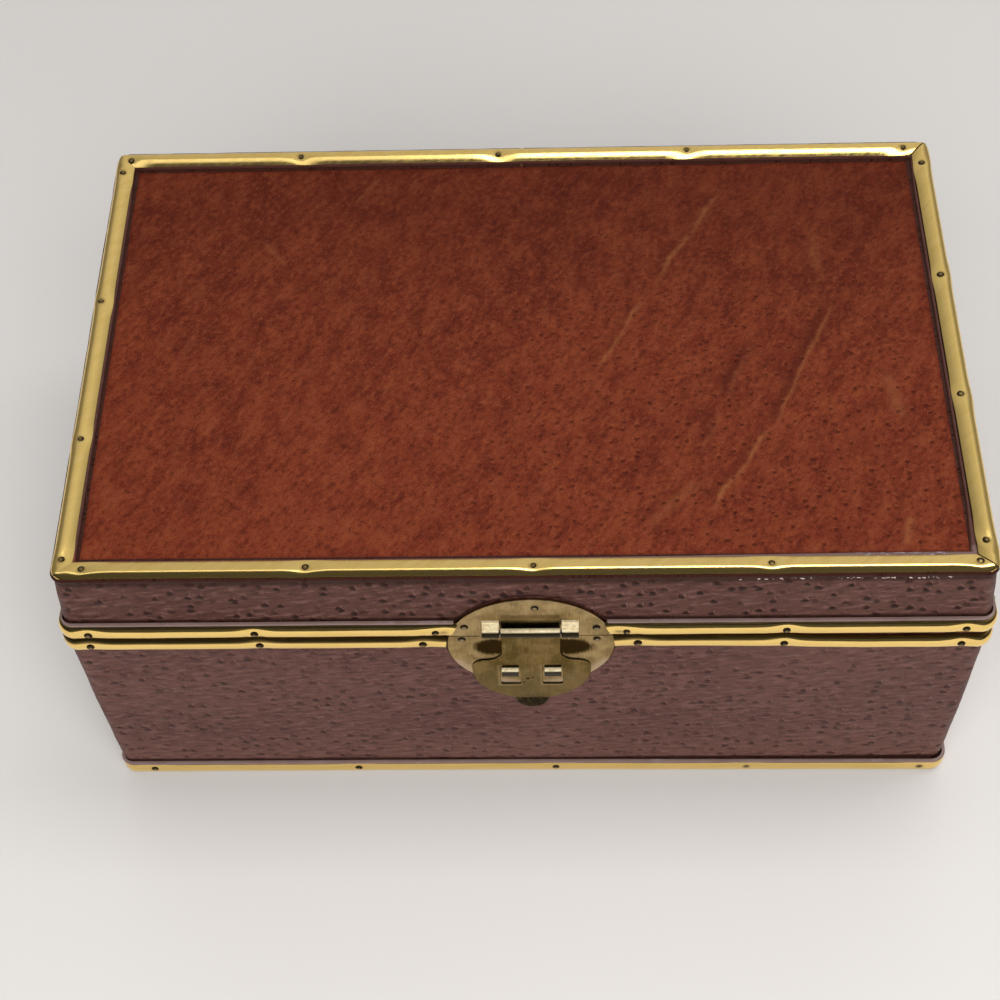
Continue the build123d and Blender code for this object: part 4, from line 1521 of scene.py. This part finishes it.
nail_profile = ((0.55, -0.5), (0.95, -0.1), (1.0, 0.12), (0.93, 0.40), (0.76, 0.68), (0.5, 0.88),
                (0.22, 0.98))


def turned_to(outward):
    """A rotation that takes +Z to an outward direction."""
    return np.array(Vector(outward).to_track_quat("Z", "Y").to_matrix())


def nail_group(node, body, drop, finish):
    """All the nails of a node as domed heads, slightly uneven, with a short length of shank."""
    chance = np.random.default_rng(len(node))
    profile = [(radius * nail_radius, height * nail_height) for radius, height in nail_profile]
    one, one_faces = lathe(profile, 16)
    rim = np.linalg.norm(one[:, :2], axis=1) / nail_radius
    shapes = []
    for seat, outward in nails[node]:
        turn = turned_to(outward)
        tilt = (Matrix.Rotation(chance.uniform(-nail_tilt, nail_tilt), 3, "X")
                @ Matrix.Rotation(chance.uniform(-nail_tilt, nail_tilt), 3, "Y"))
        size = chance.uniform(1 - nail_uneven, 1 + nail_uneven)
        local = (one * size) @ np.array(tilt).T
        base = np.array(seat) - np.array(outward) * (drop + cad_head)
        shapes.append((local @ turn.T + base, one_faces))
    points, faces = joined(*shapes)
    kept = {"place": points, "rim": np.tile(rim, len(shapes))}
    piece = make_piece(f"{node}_dressed", points, faces, finish, kept, round_smooth)
    settle(piece, body, "nail_brass", node)


# Latch

def face_matrix(leaning):
    """From latch coordinates (x across, y up from the parting line, z outward) to the box."""
    lean = lean_angle if leaning else 0.0
    across = Vector((1, 0, 0))
    outward = Vector((0, -math.cos(lean), math.sin(lean)))
    up = outward.cross(across)
    turn = Matrix((across, up, outward)).transposed()
    return Matrix.Translation((plate_x, -half_depth, parting)) @ turn.to_4x4()


def cut_plate(name, outlines, thick, low, edge, matrix):
    """A flat metal plate with softened edges from closed outlines, holes included."""
    curve = bpy.data.curves.new(name, "CURVE")
    curve.dimensions = "2D"
    curve.fill_mode = "BOTH"
    curve.extrude = thick / 2 - edge
    curve.bevel_depth = edge
    curve.bevel_resolution = 2
    curve.offset = -edge
    for outline in outlines:
        spline = curve.splines.new("POLY")
        spline.points.add(len(outline) - 1)
        for point, (x, y) in zip(spline.points, outline):
            point.co = (x, y, 0.0, 1.0)
        spline.use_cyclic_u = True
    holder = bpy.data.objects.new(name + "_outline", curve)
    bpy.context.scene.collection.objects.link(holder)
    bpy.context.view_layer.update()
    mesh = bpy.data.meshes.new_from_object(holder)
    points = np.array([vert.co for vert in mesh.vertices])
    faces = [tuple(face.vertices) for face in mesh.polygons]
    bpy.data.objects.remove(holder)
    bpy.data.curves.remove(curve)
    bpy.data.meshes.remove(mesh)
    points[:, 2] += low + thick / 2
    return place_points(points, matrix), faces


def place_points(points, matrix):
    """Points moved by a matrix."""
    full = np.column_stack([points, np.ones(len(points))])
    return (full @ np.array(matrix).T)[:, :3]


def arc(centre, radius, start, end, step=3.0):
    """Points on an arc between two angles in degrees."""
    count = max(2, int(abs(end - start) / step) + 1)
    angles = np.radians(np.linspace(start, end, count))
    return [(centre[0] + radius * math.cos(a), centre[1] + radius * math.sin(a)) for a in angles]


def half_plates():
    """The two parts of the round latch plate."""
    for node, body, leaning in (("latch_upper_plate", "lid", True), ("latch_lower_plate", "base", False)):
        edge_height = plate_cut if leaning else -plate_cut
        angle = math.degrees(math.asin((plate_drop + edge_height) / plate_reach))
        if leaning:
            round_edge = arc((0, -plate_drop), plate_reach, angle, 180 - angle)
            outline = [(x, y * plate_squash) for x, y in round_edge]
        else:
            outline = arc((0, -plate_drop), plate_reach, 180 - angle, 360 + angle)
        points, faces = cut_plate(node, [outline], plate_thick, 0.0, plate_edge, face_matrix(leaning))
        piece = make_piece(node + "_dressed", points, faces, "plate", None, plate_smooth)
        settle(piece, body, "aged_brass", node)


def hasp_outlines():
    """The hasp's flared outline and its two slots."""
    shoulder = hasp_lobe - hasp_neck - hasp_fillet
    shoulder_x = hasp_neck + hasp_fillet
    right = [(hasp_neck, latch_pin_up)]
    right += arc((shoulder_x, -neck_down), hasp_fillet, 180, 270, 9.0)
    right += arc((shoulder_x, -neck_down - hasp_fillet - shoulder), shoulder, 90, 0, 9.0)
    right += arc((0, -lobe_down), hasp_lobe, 0, -88)
    outline = right + [(-x, y) for x, y in reversed(right)]
    slots = [rounded_box(side * slot_aside, -slot_down, slot_width, slot_height, 0.5) for side in (-1, 1)]
    return [outline] + slots


def rounded_box(x, y, width, height, radius):
    """A rounded rectangle's outline."""
    points = []
    for side_x, side_y, start in ((1, 1, 0), (-1, 1, 90), (-1, -1, 180), (1, -1, 270)):
        centre = (x + side_x * (width / 2 - radius), y + side_y * (height / 2 - radius))
        points += arc(centre, radius, start, start + 90, 22.5)
    return points


def bar_along_x(radius, length, centre, sides=28, dish=0.12):
    """A round bar along X with softened ends."""
    half = length / 2
    profile = [(radius - dish, -half), (radius, -half + dish), (radius, half - dish),
               (radius - dish, half)]
    points, faces = lathe(profile, sides)
    points = points[:, [2, 0, 1]]
    return points + np.array(centre), faces


def joined(*shapes):
    """Several point and face lists as one."""
    points, faces = [], []
    first = 0
    for some_points, some_faces in shapes:
        points.append(some_points)
        faces += [tuple(first + index for index in face) for face in some_faces]
        first += len(some_points)
    return np.concatenate(points), faces


pin_centre = np.array(face_matrix(True) @ Vector((0, latch_pin_up, latch_pin_out)))


def hasp():
    """The hanging hasp: plate, rolled barrel and thumb tab."""
    matrix = face_matrix(False)
    plate = cut_plate("hasp_plate", hasp_outlines(), hasp_thick, hasp_out, hasp_edge, matrix)
    barrel = bar_along_x(barrel_radius, barrel_length, pin_centre)
    piece = make_piece("hasp_dressed", *plate, "hasp", None, plate_smooth)
    settle(piece, "hasp", "aged_brass", "hasp")
    rolled = make_piece("hasp_barrel", *barrel, "barrel", None, gentle_smooth)
    settle(rolled, "hasp", "aged_brass")
    thumb = make_piece("hasp_tab", *thumb_tab(), "tab", None, plate_smooth)
    settle(thumb, "hasp", "aged_brass")


def thumb_tab():
    """The half-oval tab that is bent out from the foot of the hasp's lobe."""
    outline = [(tab_half * math.cos(a), -tab_length * math.sin(a))
               for a in np.linspace(0, math.pi, 25)]
    outline = [(tab_half, tab_root)] + outline + [(-tab_half, tab_root)]
    foot = parting - lobe_down - math.sqrt(hasp_lobe ** 2 - tab_half ** 2)
    sine, cosine = math.sin(tab_bend), math.cos(tab_bend)
    turn = Matrix(((1, 0, 0), (0, sine, -cosine), (0, cosine, sine))).to_4x4()
    fold = Matrix.Translation((plate_x, -half_depth - hasp_out - hasp_thick, foot)) @ turn
    return cut_plate("hasp_tab", [outline], hasp_thick, -hasp_thick, hasp_edge, fold)


def extruded_strap(centreline, thick, width, middle_x, matrix):
    """A flat strap bent along a line of (out, up) points, with softened long edges."""
    edge = 0.14
    line = np.array(centreline)
    step = np.gradient(line, axis=0)
    step /= np.linalg.norm(step, axis=1)[:, None]
    side = np.column_stack([-step[:, 1], step[:, 0]])
    half, thin = width / 2, thick / 2
    corner = [(-half, -thin + edge), (-half + edge, -thin), (half - edge, -thin), (half, -thin + edge),
              (half, thin - edge), (half - edge, thin), (-half + edge, thin), (-half, thin - edge)]
    rows = []
    for point, normal in zip(line, side):
        for x, off in corner:
            out, up = point + normal * off
            rows.append((middle_x + x, up, out))
    points = place_points(np.array(rows), matrix)
    return points, tube_faces(len(line), len(corner))


def staples():
    """Two bent straps that stand out of the lower plate through the hasp's slots."""
    matrix = face_matrix(False)
    bend = 0.5
    inner = plate_thick - 0.3
    turn_out = staple_reach - staple_thick / 2 - bend
    upper, lower = -staple_top - staple_thick / 2, -staple_bottom + staple_thick / 2
    line = [(inner, upper), (turn_out, upper)]
    line += [(turn_out + bend * math.sin(a), upper - bend + bend * math.cos(a))
             for a in np.radians(np.arange(15, 91, 15))]
    line += [(turn_out + bend * math.cos(a), lower + bend - bend * math.sin(a))
             for a in np.radians(np.arange(0, 91, 15))]
    line += [(inner, lower)]
    for name, side in (("staple_left", -1), ("staple_right", 1)):
        shape = extruded_strap(line, staple_thick, staple_width, side * slot_aside, matrix)
        piece = make_piece(name + "_dressed", *shape, "staple", None, strap_smooth)
        settle(piece, "base", "aged_brass", name)


def knuckles():
    """Straps that lie on the upper plate and wrap round the pin's ends."""
    matrix = face_matrix(True)
    radius = knuckle_radius - knuckle_thick / 2
    on_plate = plate_thick + knuckle_thick / 2
    line = [(on_plate, latch_pin_up + 3.1), (on_plate, latch_pin_up + 2.3)]
    line += [(latch_pin_out + radius * math.cos(a), latch_pin_up + radius * math.sin(a))
             for a in np.radians(np.arange(118, -219, -12))]
    middle = barrel_length / 2 + knuckle_gap + knuckle_width / 2
    for name, side in (("knuckle_left", -1), ("knuckle_right", 1)):
        shape = extruded_strap(line, knuckle_thick, knuckle_width, side * middle, matrix)
        piece = make_piece(name + "_dressed", *shape, "knuckle", None, strap_smooth)
        settle(piece, "lid", "aged_brass", name)


def latch_pin():
    """The grey pin through the knuckles and the barrel."""
    length = barrel_length + 2 * (knuckle_gap + knuckle_width)
    shape = bar_along_x(pin_radius, length, pin_centre, 20, 0.1)
    piece = make_piece("latch_pin_dressed", *shape, "pin", None, gentle_smooth)
    settle(piece, "lid", "aged_brass", "latch_pin")


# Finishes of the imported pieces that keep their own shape

def finish_packed():
    """Boards, linings, felt and hinges keep their shape and get their finish."""
    by_slot = {"wood": "wood", "lining_cloth": "cloth", "felt": "felt", "aged_brass": "plate"}
    slots = {row["node"]: row["material_slot"] for row in frame["record"]["subparts"]}
    for node, piece in frame["nodes"].items():
        if piece.hide_render or slots[node] not in by_slot:
            continue
        piece.data.materials.clear()
        piece.data.materials.append(finishes[by_slot[slots[node]]])


# Floor, lights and camera

def floor():
    """A plain pale floor, white as the camera sees it far away."""
    mesh = bpy.data.meshes.new("floor")
    reach = 3.0
    mesh.from_pydata([(-reach, -reach, 0), (reach, -reach, 0), (reach, reach, 0), (-reach, reach, 0)],
                     [], [(0, 1, 2, 3)])
    shade = Finish("floor")
    coords = shade.value(shade.node("ShaderNodeTexCoord"), "Object")
    cloudy = shade.noise(coords, 3.0, 3.0)
    colour = shade.mix(cloudy, (0.650, 0.624, 0.600), (0.708, 0.680, 0.655))
    mesh.materials.append(shade.surface(Base_Color=colour, Roughness=0.6,
                                        Normal=shade.bump(0.2 * cloudy, 0.2)))
    piece = bpy.data.objects.new("floor", mesh)
    bpy.context.scene.collection.objects.link(piece)


def lamp(name, place, aim, width, depth, power):
    """A soft rectangular light at a place, facing its aim, in metres."""
    data = bpy.data.lights.new(name, "AREA")
    data.shape = "RECTANGLE"
    data.size = width
    data.size_y = depth
    data.energy = power
    light = bpy.data.objects.new(name, data)
    light.location = place
    light.rotation_euler = (Vector(aim) - Vector(place)).to_track_quat("-Z", "Y").to_euler()
    bpy.context.scene.collection.objects.link(light)
    return light


def lights():
    """Soft light from ceiling panels and a bright room behind; the room in front is dim."""
    lamp("right_panel", (0.415, 0.14, 1.30), (0.415, 0.14, 0), 0.93, 0.36, 5.0)
    lamp("left_panel", (-0.485, 0.14, 1.30), (-0.485, 0.14, 0), 0.87, 0.34, 0.82)
    back = lamp("back_panel", (0.0, 1.6, 0.75), (0, 0, 0.05), 2.2, 0.9, 4.5)
    fill = lamp("front_fill", (0.05, -1.0, 1.0), (0, -0.35, 0), 1.5, 1.0, 23.2)
    for light in (back, fill):
        light.visible_glossy = False
    world = bpy.data.worlds.new("room")
    world.use_nodes = True
    bpy.context.scene.world = world
    shade = Finish("room", world.node_tree)
    direction = shade.value(shade.node("ShaderNodeTexCoord"), "Generated")
    across, deep, up = shade.split(direction)
    behind = shade.ramp(deep, -0.12, 0.45, 0.07, 0.52)
    level = behind * shade.ramp(up, -0.2, 0.2, 0.85, 1.0) * shade.ramp(across, -0.45, 0.45, 0.92, 1.25)
    level = level * shade.ramp(across.size(), 0.22, 0.75, 1.0, 0.42)
    colour = shade.mix(level, (0.0, 0.0, 0.0), (1.0, 0.985, 0.97))
    glow = shade.node("ShaderNodeBackground", None, {"Color": colour, "Strength": 1.0})
    out = shade.node("ShaderNodeOutputWorld")
    shade.tree.links.new(glow.outputs[0], out.inputs[0])


def camera():
    """The photograph's viewpoint, from a fit of the box's edges and its round latch plate."""
    focal_pixels = 1767.71
    frame_pixels = 1000.0
    sensor = 36.0
    place = Vector((8.483, -315.204, 498.267)) * MM
    pan, tilt, roll = -0.0548921, 0.9751617, -0.0554063
    ahead = Vector((math.sin(pan) * math.cos(tilt), math.cos(pan) * math.cos(tilt), -math.sin(tilt)))
    level = Vector((math.cos(pan), -math.sin(pan), 0.0))
    upright = level.cross(ahead)
    right = math.cos(roll) * level + math.sin(roll) * upright
    above = -math.sin(roll) * level + math.cos(roll) * upright
    data = bpy.data.cameras.new("camera")
    data.sensor_fit = "HORIZONTAL"
    data.sensor_width = sensor
    data.lens = sensor * focal_pixels / frame_pixels
    data.clip_start = 0.01
    viewer = bpy.data.objects.new("camera", data)
    viewer.matrix_world = Matrix.Translation(place) @ Matrix((right, above, -ahead)).transposed().to_4x4()
    bpy.context.scene.collection.objects.link(viewer)
    bpy.context.scene.camera = viewer


strip_and_roll_bands()
top_strips()
top_roll()
wall_leathers()
top_leather()
for group, body in (("top_nails", "lid"), ("lid_rim_nails", "lid"), ("base_rim_nails", "base"),
                    ("foot_nails", "base")):
    nail_group(group, body, nail_drop, "nail")
nail_group("lid_fitting_nails", "lid", 0.0, "latch_nail")
nail_group("base_fitting_nails", "base", 0.0, "latch_nail")
glue_flecks()
half_plates()
hasp()
staples()
knuckles()
latch_pin()
finish_packed()
floor()
lights()
camera()

bpy.context.scene.view_settings.view_transform = "Standard"
